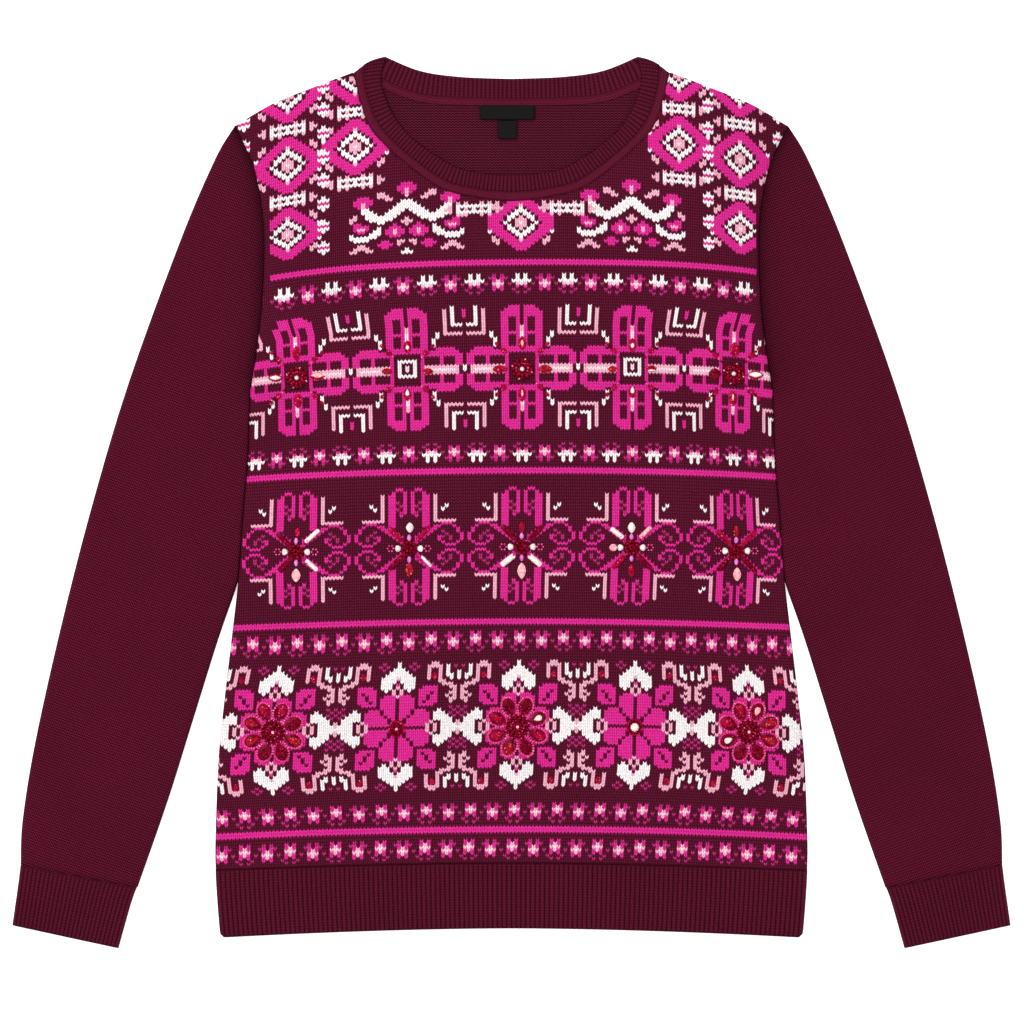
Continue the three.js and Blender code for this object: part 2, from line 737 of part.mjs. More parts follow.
// The band runs right round the neck: along the front from right to left, round the left
// fold, back to the right behind with its inner side up, and round the right fold
function neckband() {
  const low = BAND_THICKNESS / 2;
  const high = low + BAND_THICKNESS + SEAM_GAP;
  const front = bandHalf(FRONT_NECK_EDGE, FRONT_NECK_SEAM, NECK_RIBS_FRONT);
  const back = bandHalf(BACK_NECK_EDGE, BACK_NECK_SEAM, NECK_RIBS_BACK);
  const up = new THREE.Vector3(0, 0, 1);
  const along = (half, z, out, ribbed) => half.edge.map((edge, index) => (
    bandSection({ edge, seam: half.seam[index], z, out, ribbed, valley: index % 2 === 0 })
  ));
  const turn = (mirror, downwards) => {
    const edge = front.edge[0].clone().lerp(back.edge[0], 0.5);
    const seam = front.seam[0].clone().lerp(back.seam[0], 0.5);
    const outwards = new THREE.Vector3(mirror * neckFoldOutwards().x, neckFoldOutwards().y, 0);
    const sections = [];
    for (let step = 1; step < HAIRPIN_STEPS; step += 1) {
      const angle = (Math.PI / 2) * (1 - (2 * step) / HAIRPIN_STEPS) * downwards;
      const out = outwards.clone().multiplyScalar(Math.cos(angle)).addScaledVector(up, Math.sin(angle));
      const shift = (high - low) / 2;
      const place = (point) => new THREE.Vector2(mirror * point.x + out.x * shift, point.y + out.y * shift);
      const z = (low + high) / 2 + out.z * shift;
      sections.push(bandSection({ edge: place(edge), seam: place(seam), z, out, ribbed: 'none', valley: false }));
    }
    return sections;
  };
  return loftSolid([
    ...along(front, high, up, 'outer'),
    ...turn(-1, 1),
    ...along(back, low, up.clone().negate(), 'inner').reverse(),
    ...turn(1, -1),
  ]);
}

// Labels

function label(width, depth, topY) {
  const corners = [[1, 0], [1, 1], [-1, 1], [-1, 0]];
  const outline = corners.flatMap(([sideways, up], index) => {
    const centre = new THREE.Vector2(
      LABEL_OFFSET_X + sideways * (width / 2 - LABEL_CORNER),
      topY - LABEL_CORNER - (1 - up) * (depth - 2 * LABEL_CORNER),
    );
    return [0, 1, 2].map((step) => {
      const angle = (index - 1 + step / 2) * (Math.PI / 2);
      return centre.clone().add(new THREE.Vector2(Math.cos(angle), Math.sin(angle)).multiplyScalar(LABEL_CORNER));
    });
  });
  return panelSolid([
    { plan: outline, z: LABEL_UNDER },
    { plan: outline, z: LABEL_UNDER + LABEL_THICKNESS },
  ]);
}

// The garment's pieces

function piece(name, geometry, material) {
  const mesh = new THREE.Mesh(geometry, material);
  mesh.name = name;
  return mesh;
}

const jumper = new THREE.Group();
jumper.add(
  piece('front_panel', panelSolid(frontRings(), frontStones()), PATTERNED),
  piece('back_panel', panelSolid(backRings()), BURGUNDY),
  piece('hem_rib_front', hemFront(), BURGUNDY),
  piece('hem_rib_back', hemBack(), BURGUNDY),
  piece('sleeve_left', sleeve(1), BURGUNDY),
  piece('sleeve_right', sleeve(-1), BURGUNDY),
  piece('cuff_left', cuff(1), BURGUNDY),
  piece('cuff_right', cuff(-1), BURGUNDY),
  piece('neckband', neckband(), BURGUNDY),
  piece('label_main', label(LABEL_WIDTH, LABEL_DEPTH, LABEL_TOP_Y), BLACK_TAPE),
  piece('label_size', label(SIZE_LABEL_WIDTH, SIZE_LABEL_DEPTH, SIZE_LABEL_TOP_Y), BLACK_TAPE),
);

export default jumper;
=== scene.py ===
"""Fair isle jumper laid flat on its back: knitted cloth, ribs, woven labels and sewn stones.

Sizes are millimetres in the CAD's frame, X across, Y from hem to neck, +Z up off the floor,
and every mesh is scaled to metres as it is made.
"""

import logging
import math
from dataclasses import dataclass, field
from enum import Enum

import bpy
import numpy as np
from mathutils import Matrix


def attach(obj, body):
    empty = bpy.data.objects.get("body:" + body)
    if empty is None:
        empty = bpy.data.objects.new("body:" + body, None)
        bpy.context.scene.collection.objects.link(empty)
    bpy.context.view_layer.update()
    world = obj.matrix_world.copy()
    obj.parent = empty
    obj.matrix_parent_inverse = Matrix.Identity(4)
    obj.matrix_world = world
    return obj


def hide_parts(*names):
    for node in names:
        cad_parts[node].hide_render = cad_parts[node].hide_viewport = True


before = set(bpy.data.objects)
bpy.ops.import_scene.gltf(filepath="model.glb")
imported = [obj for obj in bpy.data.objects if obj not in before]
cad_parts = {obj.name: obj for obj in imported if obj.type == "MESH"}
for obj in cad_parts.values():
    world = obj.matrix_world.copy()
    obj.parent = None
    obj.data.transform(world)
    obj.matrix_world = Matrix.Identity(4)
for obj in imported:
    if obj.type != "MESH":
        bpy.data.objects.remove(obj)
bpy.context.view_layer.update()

LOG = logging.getLogger("jumper")
MM = 0.001
ROOT = "root"
TAU = 2 * math.pi

# Heights of the cloth, as the CAD has them, and the reach of its rounded edges
FRONT_EDGE = 2.3
FRONT_TOP = 4.5
BACK_EDGE = 1.9
BACK_TURN = 0.5
SLEEVE_TOP = 3.8
SLEEVE_CROWN = 0.4
TUBE_FOOT = 0.1
SEAM_GAP = 0.3
SEAM_REACH = 1.6
TUBE_REACH = 4.0
FOLD_REACH = 5.0
WELT_BACK_REACH = 3.0
RIB_FOOT_REACH = 2.0

# Right half of the garment's outline, from above
UNDERARM = (192.6, 80.9)
SHOULDER = (203.6, 276.8)
NECK_POINT = (115.1, 317.3)
NECK_TIP = (92.3, 328.1)
SHOULDER_START_X = 115.0
SIDE_EDGE = [
    (217.9, -270.7), (218.1, -248.6), (215.9, -189.8), (211.5, -145.6), (206.3, -101.5),
    (200.7, -51.5), (197.5, -7.4), (194.2, 30.0), UNDERARM,
]
ARMHOLE_SEAM = [
    UNDERARM, (187.2, 114.8), (183.3, 153.0), (182.4, 200.8), (188.0, 240.0), (195.8, 261.0),
    SHOULDER,
]
SHOULDER_FOLD = [SHOULDER, (176.9, 292.8), (144.5, 306.0), NECK_POINT]
FRONT_NECK_SEAM = [
    NECK_POINT, (110.7, 295.0), (98.2, 269.2), (57.0, 234.7), (26.0, 225.0), (0.0, 222.2),
]
FRONT_NECK_EDGE = [
    NECK_TIP, (94.9, 305.5), (79.1, 274.4), (46.0, 249.5), (23.0, 242.3), (0.0, 240.8),
]
BACK_NECK_SEAM = [NECK_POINT, (93.1, 305.4), (60.7, 295.0), (0.0, 292.8)]
BACK_NECK_EDGE = [NECK_TIP, (67.3, 317.8), (37.9, 313.4), (0.0, 311.9)]
SLEEVE_OUTER_EDGE = [
    (205.6, 274.4), (218.8, 251.6), (243.9, 192.7), (281.4, 89.7), (307.9, 1.5),
    (330.7, -86.8), (350.5, -175.1), (360.1, -233.9), (361.6, -267.0),
]
SLEEVE_INNER_EDGE = [
    *SIDE_EDGE[:-5:-1], (203.6, -64.0), (216.6, -101.5), (235.0, -160.4), (253.4, -219.2),
    (275.9, -283.7),
]
CUFF_OUTER_EDGE = [(361.6, -267.3), (363.6, -283.0), (367.7, -311.8)]
CUFF_INNER_EDGE = [(276.0, -284.0), (280.3, -296.0), (289.5, -328.7)]
HEM_SEAM_Y = -265.6
HEM_SEAM_DIP = 5.1
HEM_MIDDLE_Y = -314.0
HEM_DIP = 6.8
HEM_DIP_POWER = 1.7
HEM_HALF_WIDTH = 214.2
RIB_TUCK = 0.012

# One stitch of the plain knit
SLEEVE_WALE = 2.5
SLEEVE_COURSE = 2.0

Colour = tuple[float, float, float, float]
Rows = list[tuple[float, ...]]


def linear(red: int, green: int, blue: int) -> Colour:
    """Returns a screen colour of 0 to 255 as the linear colour that a shader takes."""
    shares = (channel / 255 for channel in (red, green, blue))
    parts = [s / 12.92 if s <= 0.04045 else ((s + 0.055) / 1.055) ** 2.4 for s in shares]
    return (parts[0], parts[1], parts[2], 1.0)


class Yarn(Enum):
    """The yarns of the front, each with its screen colour."""

    GROUND = (90, 22, 46)
    MAGENTA = (218, 48, 146)
    PINK = (238, 176, 196)
    WHITE = (245, 238, 239)
    HEATHER = (172, 46, 110)
    BLUSH = (248, 216, 226)

    @property
    def colour(self) -> Colour:
        """The yarn's linear colour."""
        return linear(*self.value)


class Side(Enum):
    """The wearer's sides, each with the sign of X there."""

    LEFT = 1
    RIGHT = -1

    @property
    def label(self) -> str:
        """The side's word in a name."""
        return self.name.lower()


YARNS = list(Yarn)
YARN_OF_MARK = dict(zip("mpwhb", YARNS[1:]))


# Lines


def smooth_line(rows: Rows, steps: int) -> np.ndarray:
    """Carries a smooth line through a table's rows.

    Between two rows the line is the cubic whose ends slope as the chord of their neighbours.
    The points are then spaced evenly along the line's length.

    Args:
        rows: Places that the line passes, in order.
        steps: Number of even steps along the line.

    Returns:
        An array of steps + 1 places.
    """
    rows = np.asarray(rows, float)
    last = len(rows) - 1
    along = np.linspace(0, last, 60 * last + 1)
    at = np.minimum(along.astype(int), last - 1)
    share = (along - at)[:, None]
    before, start = rows[np.maximum(at - 1, 0)], rows[at]
    end, after = rows[at + 1], rows[np.minimum(at + 2, last)]
    leave, arrive = (end - before) / 2, (after - start) / 2
    line = (
        (2 * start - 2 * end + leave + arrive) * share**3
        + (3 * end - 3 * start - 2 * leave - arrive) * share**2
        + leave * share
        + start
    )
    return placed(line, np.linspace(0, 1, steps + 1))


def placed(line: np.ndarray, shares: np.ndarray) -> np.ndarray:
    """Returns the places of a line at given shares of its length."""
    reach = distances(line)
    wanted = shares * reach[-1]
    return np.stack([np.interp(wanted, reach, column) for column in line.T], axis=1)


def placed_across(line: np.ndarray, other: np.ndarray) -> np.ndarray:
    """Returns the place across from each place of a line, on another line.

    The nearest place is taken, its way along the other line is kept from running back, and
    that way is smoothed by the mean of its neighbours, with the two ends held.

    Args:
        line: Places in order.
        other: The other line's places, close together and in the same order.

    Returns:
        One place of the other line for each place of the line.
    """
    reach = distances(other)
    gaps = np.linalg.norm(line[:, None] - other[None], axis=-1)
    way = np.maximum.accumulate(reach[gaps.argmin(axis=1)])
    way[0], way[-1] = 0, reach[-1]
    half = 8
    padded = np.pad(way, half, mode="reflect", reflect_type="odd")
    way = np.convolve(padded, np.full(2 * half + 1, 1 / (2 * half + 1)), mode="valid")
    return placed(other, way / reach[-1])


def rib_rows(count: int) -> np.ndarray:
    """Returns the shares down a rib, close together at its seam, with count + 1 of them."""
    return np.concatenate([[0.0, RIB_TUCK, 0.03], np.linspace(0.06, 1, count - 2)])


def tucked(down: np.ndarray) -> np.ndarray:
    """Returns 1 at a rib's seam, which lies under its neighbour, and 0 from its next row on."""
    return np.clip(1 - down / RIB_TUCK, 0, 1)


def distances(line: np.ndarray) -> np.ndarray:
    """Returns how far each place of a line lies from its start, along the line."""
    return np.concatenate([[0], np.cumsum(np.linalg.norm(np.diff(line, axis=0), axis=1))])


def full_line(rows: Rows, steps: int) -> np.ndarray:
    """Returns a line over both halves of the garment, from right to left, from its right half."""
    right = smooth_line(rows, steps)
    return np.concatenate([right, right[-2::-1] * np.array([-1, 1])])


def moved_square(line: np.ndarray, distance: float) -> np.ndarray:
    """Returns a plan line moved square to itself, to its left as it runs."""
    run = np.gradient(line, axis=0)
    run /= np.linalg.norm(run, axis=1, keepdims=True)
    return line + distance * np.stack([-run[:, 1], run[:, 0]], axis=1)


def drawn_in(rows: Rows) -> Rows:
    """Returns a neck line with its first row drawn in by the room of the band's turn."""
    edge, seam = np.array(NECK_TIP), np.array(NECK_POINT)
    out = np.array([edge[1] - seam[1], seam[0] - edge[0]])
    out /= np.linalg.norm(out)
    return [tuple(np.array(rows[0]) - out * SEAM_GAP), *rows[1:]]


def hem_dip(x: np.ndarray, depth: float) -> np.ndarray:
    """Returns how far the hem or its seam dips at x: its depth times a power of the share out."""
    return depth * (np.abs(x) / HEM_HALF_WIDTH) ** HEM_DIP_POWER


def body_half_width(y: np.ndarray) -> np.ndarray:
    """Returns the body's half width at each y, from the side edge and the armhole seam."""
    edge = np.concatenate([smooth_line(SIDE_EDGE, 80), smooth_line(ARMHOLE_SEAM, 60)[1:]])
    return np.interp(y, edge[:, 1], edge[:, 0])


def body_top(x: np.ndarray, neck_rows: Rows) -> np.ndarray:
    """Returns the body's top edge at each x, from the neck seam and the shoulder fold."""
    edge = np.concatenate([smooth_line(SHOULDER_FOLD, 60), smooth_line(neck_rows, 160)[1:]])[::-1]
    return np.interp(np.abs(x), edge[:, 0], edge[:, 1])


def round_over(distance: np.ndarray, reach: float | np.ndarray) -> np.ndarray:
    """Returns the height share of a cloth edge: a quarter circle from 0 at its edge to 1."""
    share = np.clip(distance / reach, 0, 1)
    return np.sqrt(1 - (1 - share) ** 2)


def swell(x: np.ndarray, y: np.ndarray, rows: Rows) -> np.ndarray:
    """Adds up soft ridges and troughs of cloth.

    Each row is a bell along a straight crease: its height falls off as the square of the
    distance across the crease, and as the fourth power along it.

    Args:
        x: Places across the garment.
        y: Places along it.
        rows: Creases as (x, y, turn in degrees, half length, half width, height).

    Returns:
        The height added at each place.
    """
    total = np.zeros_like(x)
    for centre_x, centre_y, turn, half_length, half_width, height in rows:
        angle = math.radians(turn)
        along = (x - centre_x) * math.cos(angle) + (y - centre_y) * math.sin(angle)
        across = (y - centre_y) * math.cos(angle) - (x - centre_x) * math.sin(angle)
        total += height * np.exp(-((along / half_length) ** 4) - (across / half_width) ** 2)
    return total


def turned(
    x: float, y: float, turn: float, along: float | np.ndarray, across: float | np.ndarray = 0.0
) -> tuple[float | np.ndarray, float | np.ndarray]:
    """Finds a place from its way along and across a line that is turned about a middle.

    Args:
        x: The middle across the garment.
        y: The middle along it.
        turn: The line's turn in degrees.
        along: The way along the line.
        across: The way to the line's left.

    Returns:
        The place across and along the garment.
    """
    rise, run = math.sin(math.radians(turn)), math.cos(math.radians(turn))
    return x + along * run - across * rise, y + along * rise + across * run


# Meshes


# Twice the area in square millimetres below which a face is dropped
SMALLEST_FACE = 0.4


def grid_piece(
    name: str,
    points: np.ndarray,
    stitches: np.ndarray,
    around: bool = False,
    face_colours: dict[str, np.ndarray] | None = None,
    point_values: dict[str, np.ndarray] | None = None,
) -> bpy.types.Object:
    """Makes a piece from a grid of places, one face between each four neighbours.

    Faces of next to no area, which a clipped outline leaves, are dropped.

    Args:
        name: The piece's name.
        points: Places in millimetres, shaped (rows, columns, 3).
        stitches: Knitting coordinates in stitches, shaped (rows, columns, 2). A grid that runs
            around has one column more, for the coordinate where it closes.
        around: Whether the last column joins the first one.
        face_colours: Colours by attribute name, shaped (rows - 1, columns - 1, 4).
        point_values: Numbers by attribute name, shaped (rows, columns).

    Returns:
        The new object.
    """
    rows, columns = points.shape[:2]
    index = np.arange(rows * columns).reshape(rows, columns)
    if around:
        index = np.concatenate([index, index[:, :1]], axis=1)
    faces, corners = (
        np.stack([grid[:-1, :-1], grid[:-1, 1:], grid[1:, 1:], grid[1:, :-1]], axis=2)
        for grid in (index, stitches)
    )
    flat = points.reshape(-1, 3)
    first = flat[faces[..., 2]] - flat[faces[..., 0]]
    second = flat[faces[..., 3]] - flat[faces[..., 1]]
    kept = np.linalg.norm(np.cross(first, second), axis=-1) > SMALLEST_FACE
    faces, corners = faces[kept], corners[kept]
    used, faces = np.unique(faces, return_inverse=True)
    faces = faces.reshape(-1, 4)
    mesh = bpy.data.meshes.new(name)
    mesh.from_pydata(flat[used] * MM, [], faces)
    layer = mesh.uv_layers.new(name="stitches")
    layer.data.foreach_set("uv", corners.reshape(-1))
    for key, colours in (face_colours or {}).items():
        attribute = mesh.attributes.new(key, "FLOAT_COLOR", "FACE")
        attribute.data.foreach_set("color", colours[kept].reshape(-1))
    for key, values in (point_values or {}).items():
        attribute = mesh.attributes.new(key, "FLOAT", "POINT")
        attribute.data.foreach_set("value", values.reshape(-1)[used])
    return as_piece(name, mesh)


def as_piece(name: str, mesh: bpy.types.Mesh) -> bpy.types.Object:
    """Puts a mesh in the scene as a smooth piece that rides on the body."""
    mesh.update()
    mesh.shade_smooth()
    piece = bpy.data.objects.new(name, mesh)
    bpy.context.scene.collection.objects.link(piece)
    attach(piece, ROOT)
    return piece


def dress(
    piece: bpy.types.Object, material: bpy.types.Material, node: str, wall: float = 0.0
) -> None:
    """Gives a piece its wall and its finish, and hides the CAD part that it replaces.

    Args:
        piece: The piece.
        material: Its material.
        node: The CAD node that it replaces.
        wall: A sheet's thickness, inwards from the side that its faces point to.
    """
    if wall:
        solid = piece.modifiers.new("wall", "SOLIDIFY")
        solid.thickness = wall * MM
        solid.offset = -1
    piece.data.materials.append(material)
    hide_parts(node)


def folded_tube(
    name: str, side: Side, top: np.ndarray, heights: tuple[np.ndarray, np.ndarray],
    stitches: np.ndarray, shade: np.ndarray,
) -> bpy.types.Object:
    """Makes a tube folded flat, each row a loop over its top and back below.

    Args:
        name: The piece's name, without its side.
        side: The garment's side that it lies on.
        top: Places over the top on the right half, shaped (rows, columns, 2).
        heights: The heights there of the top and of the underside.
        stitches: Knitting coordinates all round, with the column where they close.
        shade: The painted shade over the top, which darkens the yarn.

    Returns:
        The new object.
    """
    upper, lower = (np.dstack([top, height]) for height in heights)
    loop = np.concatenate([upper, lower[:, -2:0:-1]], axis=1)
    shade = np.concatenate([shade, shade[:, -2:0:-1]], axis=1)
    loop[..., 0] *= side.value
    if side is Side.LEFT:
        loop, stitches, shade = loop[::-1], stitches[::-1], shade[::-1]
    return grid_piece(
        f"{name}_{side.label}", loop, stitches, around=True, point_values={"shade": shade}
    )


# Shader nodes


class NodeSheet:
    """Places and joins the nodes of one tree."""

    def __init__(self, tree: bpy.types.NodeTree) -> None:
        """Keeps the tree that the nodes go into."""
        self.tree = tree

    def add(self, kind: str, **settings: object) -> bpy.types.Node:
        """Adds a node and sets its own properties."""
        node = self.tree.nodes.new(kind)
        for key, value in settings.items():
            setattr(node, key, value)
        return node

    def feed(self, socket: bpy.types.NodeSocket, value: object) -> None:
        """Sets a socket from a number or colour, or joins another socket to it."""
        if isinstance(value, bpy.types.NodeSocket):
            self.tree.links.new(value, socket)
        else:
            socket.default_value = value

    def math(self, operation: str, *values: object) -> bpy.types.NodeSocket:
        """Adds a Math node and returns its result."""
        node = self.add("ShaderNodeMath", operation=operation)
        for socket, value in zip(node.inputs, values):
            self.feed(socket, value)
        return node.outputs[0]

    def mix(self, share: object, first: object, second: object) -> bpy.types.NodeSocket:
        """Mixes two colours and returns the result."""
        node = self.add("ShaderNodeMix", data_type="RGBA")
        self.feed(node.inputs[0], share)
        self.feed(node.inputs[6], first)
        self.feed(node.inputs[7], second)
        return node.outputs[2]

    def scaled(self, colour: object, share: object) -> bpy.types.NodeSocket:
        """Multiplies a colour by a number and returns the result."""
        node = self.add("ShaderNodeVectorMath", operation="SCALE")
        self.feed(node.inputs[0], colour if isinstance(colour, bpy.types.NodeSocket) else colour[:3])
        self.feed(node.inputs[3], share)
        return node.outputs[0]

    def stretched(self, value: object, low: float, high: float) -> bpy.types.NodeSocket:
        """Carries a value of 0 to 1 over to low to high and returns the result."""
        node = self.add("ShaderNodeMapRange")
        self.feed(node.inputs[0], value)
        node.inputs[3].default_value = low
        node.inputs[4].default_value = high
        return node.outputs[0]

    def noise(self, place: object, scale: float, detail: float = 2.0) -> bpy.types.NodeSocket:
        """Adds a Noise Texture and returns its value."""
        node = self.add("ShaderNodeTexNoise")
        self.feed(node.inputs["Vector"], place)
        node.inputs["Scale"].default_value = scale
        node.inputs["Detail"].default_value = detail
        return node.outputs[0]

    def place(self, stitches: bool = True) -> bpy.types.NodeSocket:
        """Returns the knitting coordinates, or else the place on the object."""
        if stitches:
            return self.add("ShaderNodeUVMap", uv_map="stitches").outputs[0]
        return self.add("ShaderNodeTexCoord").outputs["Object"]

    def attribute(self, name: str, output: str = "Color") -> bpy.types.NodeSocket:
        """Returns what an attribute of the mesh holds."""
        return self.add("ShaderNodeAttribute", attribute_name=name).outputs[output]

    def parts(self, place: bpy.types.NodeSocket) -> bpy.types.bpy_prop_collection:
        """Returns a place's three coordinates."""
        node = self.add("ShaderNodeSeparateXYZ")
        self.feed(node.inputs[0], place)
        return node.outputs

    def raise_up(self, shader: bpy.types.Node, height: object, share: float, reach: float) -> None:
        """Bumps a shader's surface by a height, with the bump's strength and its distance in m."""
        bump = self.add("ShaderNodeBump")
        bump.inputs["Strength"].default_value = share
        bump.inputs["Distance"].default_value = reach
        self.feed(bump.inputs["Height"], height)
        self.feed(shader.inputs["Normal"], bump.outputs[0])


def new_material(
    name: str, values: dict[str, object]
) -> tuple[bpy.types.Material, NodeSheet, bpy.types.Node]:
    """Makes a material and sets its shader's own sockets.

    Args:
        name: The material's name.
        values: What is the same all over the surface, by socket.

    Returns:
        The material, the sheet to add nodes to and the shader.
    """
    material = bpy.data.materials.new(name)
    material.use_nodes = True
    shader = material.node_tree.nodes["Principled BSDF"]
    for key, value in values.items():
        shader.inputs[key].default_value = value
    return material, NodeSheet(material.node_tree), shader


def new_group(
    name: str, inputs: dict[str, str], outputs: dict[str, str]
) -> tuple[NodeSheet, dict, dict]:
    """Makes an empty shader node group.

    Args:
        name: The group's name.
        inputs: Socket types by name.
        outputs: Socket types by name.

    Returns:
        The sheet to add nodes to, the sockets that come in and the sockets to feed.
    """
    tree = bpy.data.node_groups.new(name, "ShaderNodeTree")
    for side, sockets in (("INPUT", inputs), ("OUTPUT", outputs)):
        for key, kind in sockets.items():
            tree.interface.new_socket(key, in_out=side, socket_type=kind)
    sheet = NodeSheet(tree)
    taken = sheet.add("NodeGroupInput")
    given = sheet.add("NodeGroupOutput")
    return sheet, {s.name: s for s in taken.outputs}, {s.name: s for s in given.inputs}


def knit_group() -> bpy.types.NodeTree:
    """Builds the knit stitch effect.

    A stitch is a V of two legs. At u across and v up the stitch, a = |2u - 1| is 0 at the foot
    of the V and 1 at its sides, and the course's lower border runs at v = lean * a. A leg is
    round over a and over the distance above that border.

    Returns:
        A group with the stitch's height, the painted shade of its hollow, and a mask of the course
        below.
    """
    sheet, taken, given = new_group(
        "knit_stitch",
        {"Place": "NodeSocketVector", "Lean": "NodeSocketFloat"},
        {"Height": "NodeSocketFloat", "Hollow": "NodeSocketFloat", "Below": "NodeSocketFloat"},
    )
    across, up = (sheet.math("FRACT", part) for part in list(sheet.parts(taken["Place"]))[:2])
    side = sheet.math("ABSOLUTE", sheet.math("MULTIPLY_ADD", across, 2.0, -1.0))
    border = sheet.math("MULTIPLY", side, taken["Lean"])
    below = sheet.math("LESS_THAN", up, border)
    above = sheet.math("FRACT", sheet.math("SUBTRACT", sheet.math("ADD", up, 1.0), border))
    off_centre = sheet.math("MULTIPLY_ADD", side, 2.0, -1.0)
    leg = sheet.math("SUBTRACT", 1.0, sheet.math("MULTIPLY", off_centre, off_centre))
    loop = sheet.math("SINE", sheet.math("MULTIPLY", above, math.pi))
    arch = sheet.math("MULTIPLY_ADD", loop, 0.62, 0.38)
    height = sheet.math("MULTIPLY", sheet.math("SQRT", leg), arch)
    sheet.feed(given["Height"], height)
    # Painted shade: the hollow between the legs darkens the yarn where the stitch sinks
    sheet.feed(given["Hollow"], sheet.math("POWER", sheet.math("SUBTRACT", 1.0, height), 1.2))
    sheet.feed(given["Below"], below)
    return sheet.tree


def purl_group() -> bpy.types.NodeTree:
    """Builds the purl side's effect: short ridges across, each course half a stitch along.

    Returns:
        A group with the ridge's height and the painted shade of its hollow.
    """
    sheet, taken, given = new_group(
        "purl_stitch",
        {"Place": "NodeSocketVector"},
        {"Height": "NodeSocketFloat", "Hollow": "NodeSocketFloat"},
    )
    parts = sheet.parts(taken["Place"])
    wave = sheet.math("SINE", sheet.math("MULTIPLY", parts[0], TAU))
    course = sheet.math("ADD", parts[1], sheet.math("MULTIPLY", wave, 0.22))
    ridge = sheet.math("ABSOLUTE", sheet.math("SINE", sheet.math("MULTIPLY", course, math.pi)))
    bead = sheet.math("MULTIPLY_ADD", sheet.math("ABSOLUTE", wave), 0.35, 0.65)
    height = sheet.math("MULTIPLY", ridge, bead)
    sheet.feed(given["Height"], height)
    # Painted shade: the hollow between the ridges darkens the yarn where the ridge sinks
    sheet.feed(given["Hollow"], sheet.math("POWER", sheet.math("SUBTRACT", 1.0, height), 2.0))
    return sheet.tree


@dataclass(frozen=True)
class KnitFinish:
    """Knitted yarn in one colour, or in the colours that the faces carry."""

    name: str
    colour: Colour
    charted: bool = False
    purl: bool = False
    relief: float = 0.8
    relief_reach: float = 0.001
    # How strong the painted shade in the stitches' hollows is
    hollow_shade: float = 1.0
    lean: float = 0.6
    fleck_scale: float = 1.4
    cloud_scale: float = 14.0
    fibre_scale: float = 9.0

    def build(self, groups: dict[str, bpy.types.NodeTree]) -> bpy.types.Material:
        """Builds the material.

        The yarn's colour varies with flecks of the fibre and broad clouds. It is darkened by the
        painted shade that the mesh carries, and by painted shade in the hollows between the
        stitches, which also deepens it.

        Args:
            groups: The stitch effects by name.

        Returns:
            The material.
        """
        material, sheet, shader = new_material(
            self.name, {"Roughness": 0.95, "Specular IOR Level": 0.04}
        )
        knit = sheet.place()
        stitch = sheet.add("ShaderNodeGroup", node_tree=groups["purl" if self.purl else "knit"])
        sheet.feed(stitch.inputs["Place"], knit)
        if not self.purl:
            stitch.inputs["Lean"].default_value = self.lean
        colour: object = self.colour
        if self.charted:
            yarns = sheet.attribute("yarn"), sheet.attribute("yarn_below")
            colour = sheet.mix(stitch.outputs["Below"], *yarns)
        fleck = sheet.stretched(sheet.noise(knit, self.fleck_scale), 0.6, 1.4)
        cloud = sheet.noise(sheet.place(stitches=False), self.cloud_scale)
        shade = sheet.math("MULTIPLY", fleck, sheet.stretched(cloud, 0.86, 1.14))
        # Painted shade that the mesh carries along seams, rib grooves and the armhole
        painted_shade = sheet.attribute("shade", "Fac")
        shade = sheet.math("MULTIPLY", shade, sheet.math("SUBTRACT", 1.0, painted_shade))
        # Painted shade in the hollows between stitches, which the gamma below also deepens
        hollow = sheet.math("MULTIPLY", stitch.outputs["Hollow"], self.hollow_shade)
        shade = sheet.math("MULTIPLY", shade, sheet.math("MULTIPLY_ADD", hollow, -0.3, 1.08))
        deepened = sheet.add("ShaderNodeGamma")
        sheet.feed(deepened.inputs[0], colour)
        sheet.feed(deepened.inputs[1], sheet.math("MULTIPLY_ADD", hollow, 0.6, 0.92))
        sheet.feed(shader.inputs["Base Color"], sheet.scaled(deepened.outputs[0], shade))
        fibre = sheet.noise(knit, self.fibre_scale)
        height = sheet.math("MULTIPLY_ADD", fibre, 0.25, stitch.outputs["Height"])
        sheet.raise_up(shader, height, self.relief, self.relief_reach)
        return material


@dataclass(frozen=True)
class TapeFinish:
    """Woven tape: fine threads across each other, with a soft satin gloss."""

    name: str
    colour: Colour

    def build(self) -> bpy.types.Material:
        """Builds the material."""
        material, sheet, shader = new_material(
            self.name, {"Roughness": 0.6, "Specular IOR Level": 0.08}
        )
        warp, weft = (
            sheet.math("SINE", sheet.math("MULTIPLY", part, TAU))
            for part in list(sheet.parts(sheet.place()))[:2]
        )
        weave = sheet.math("MULTIPLY_ADD", sheet.math("MULTIPLY", warp, weft), 0.5, 0.5)
        threads = sheet.scaled(self.colour, sheet.stretched(weave, 0.7, 1.3))
        sheet.feed(shader.inputs["Base Color"], threads)
        sheet.raise_up(shader, weave, 0.4, 0.0002)
        return material


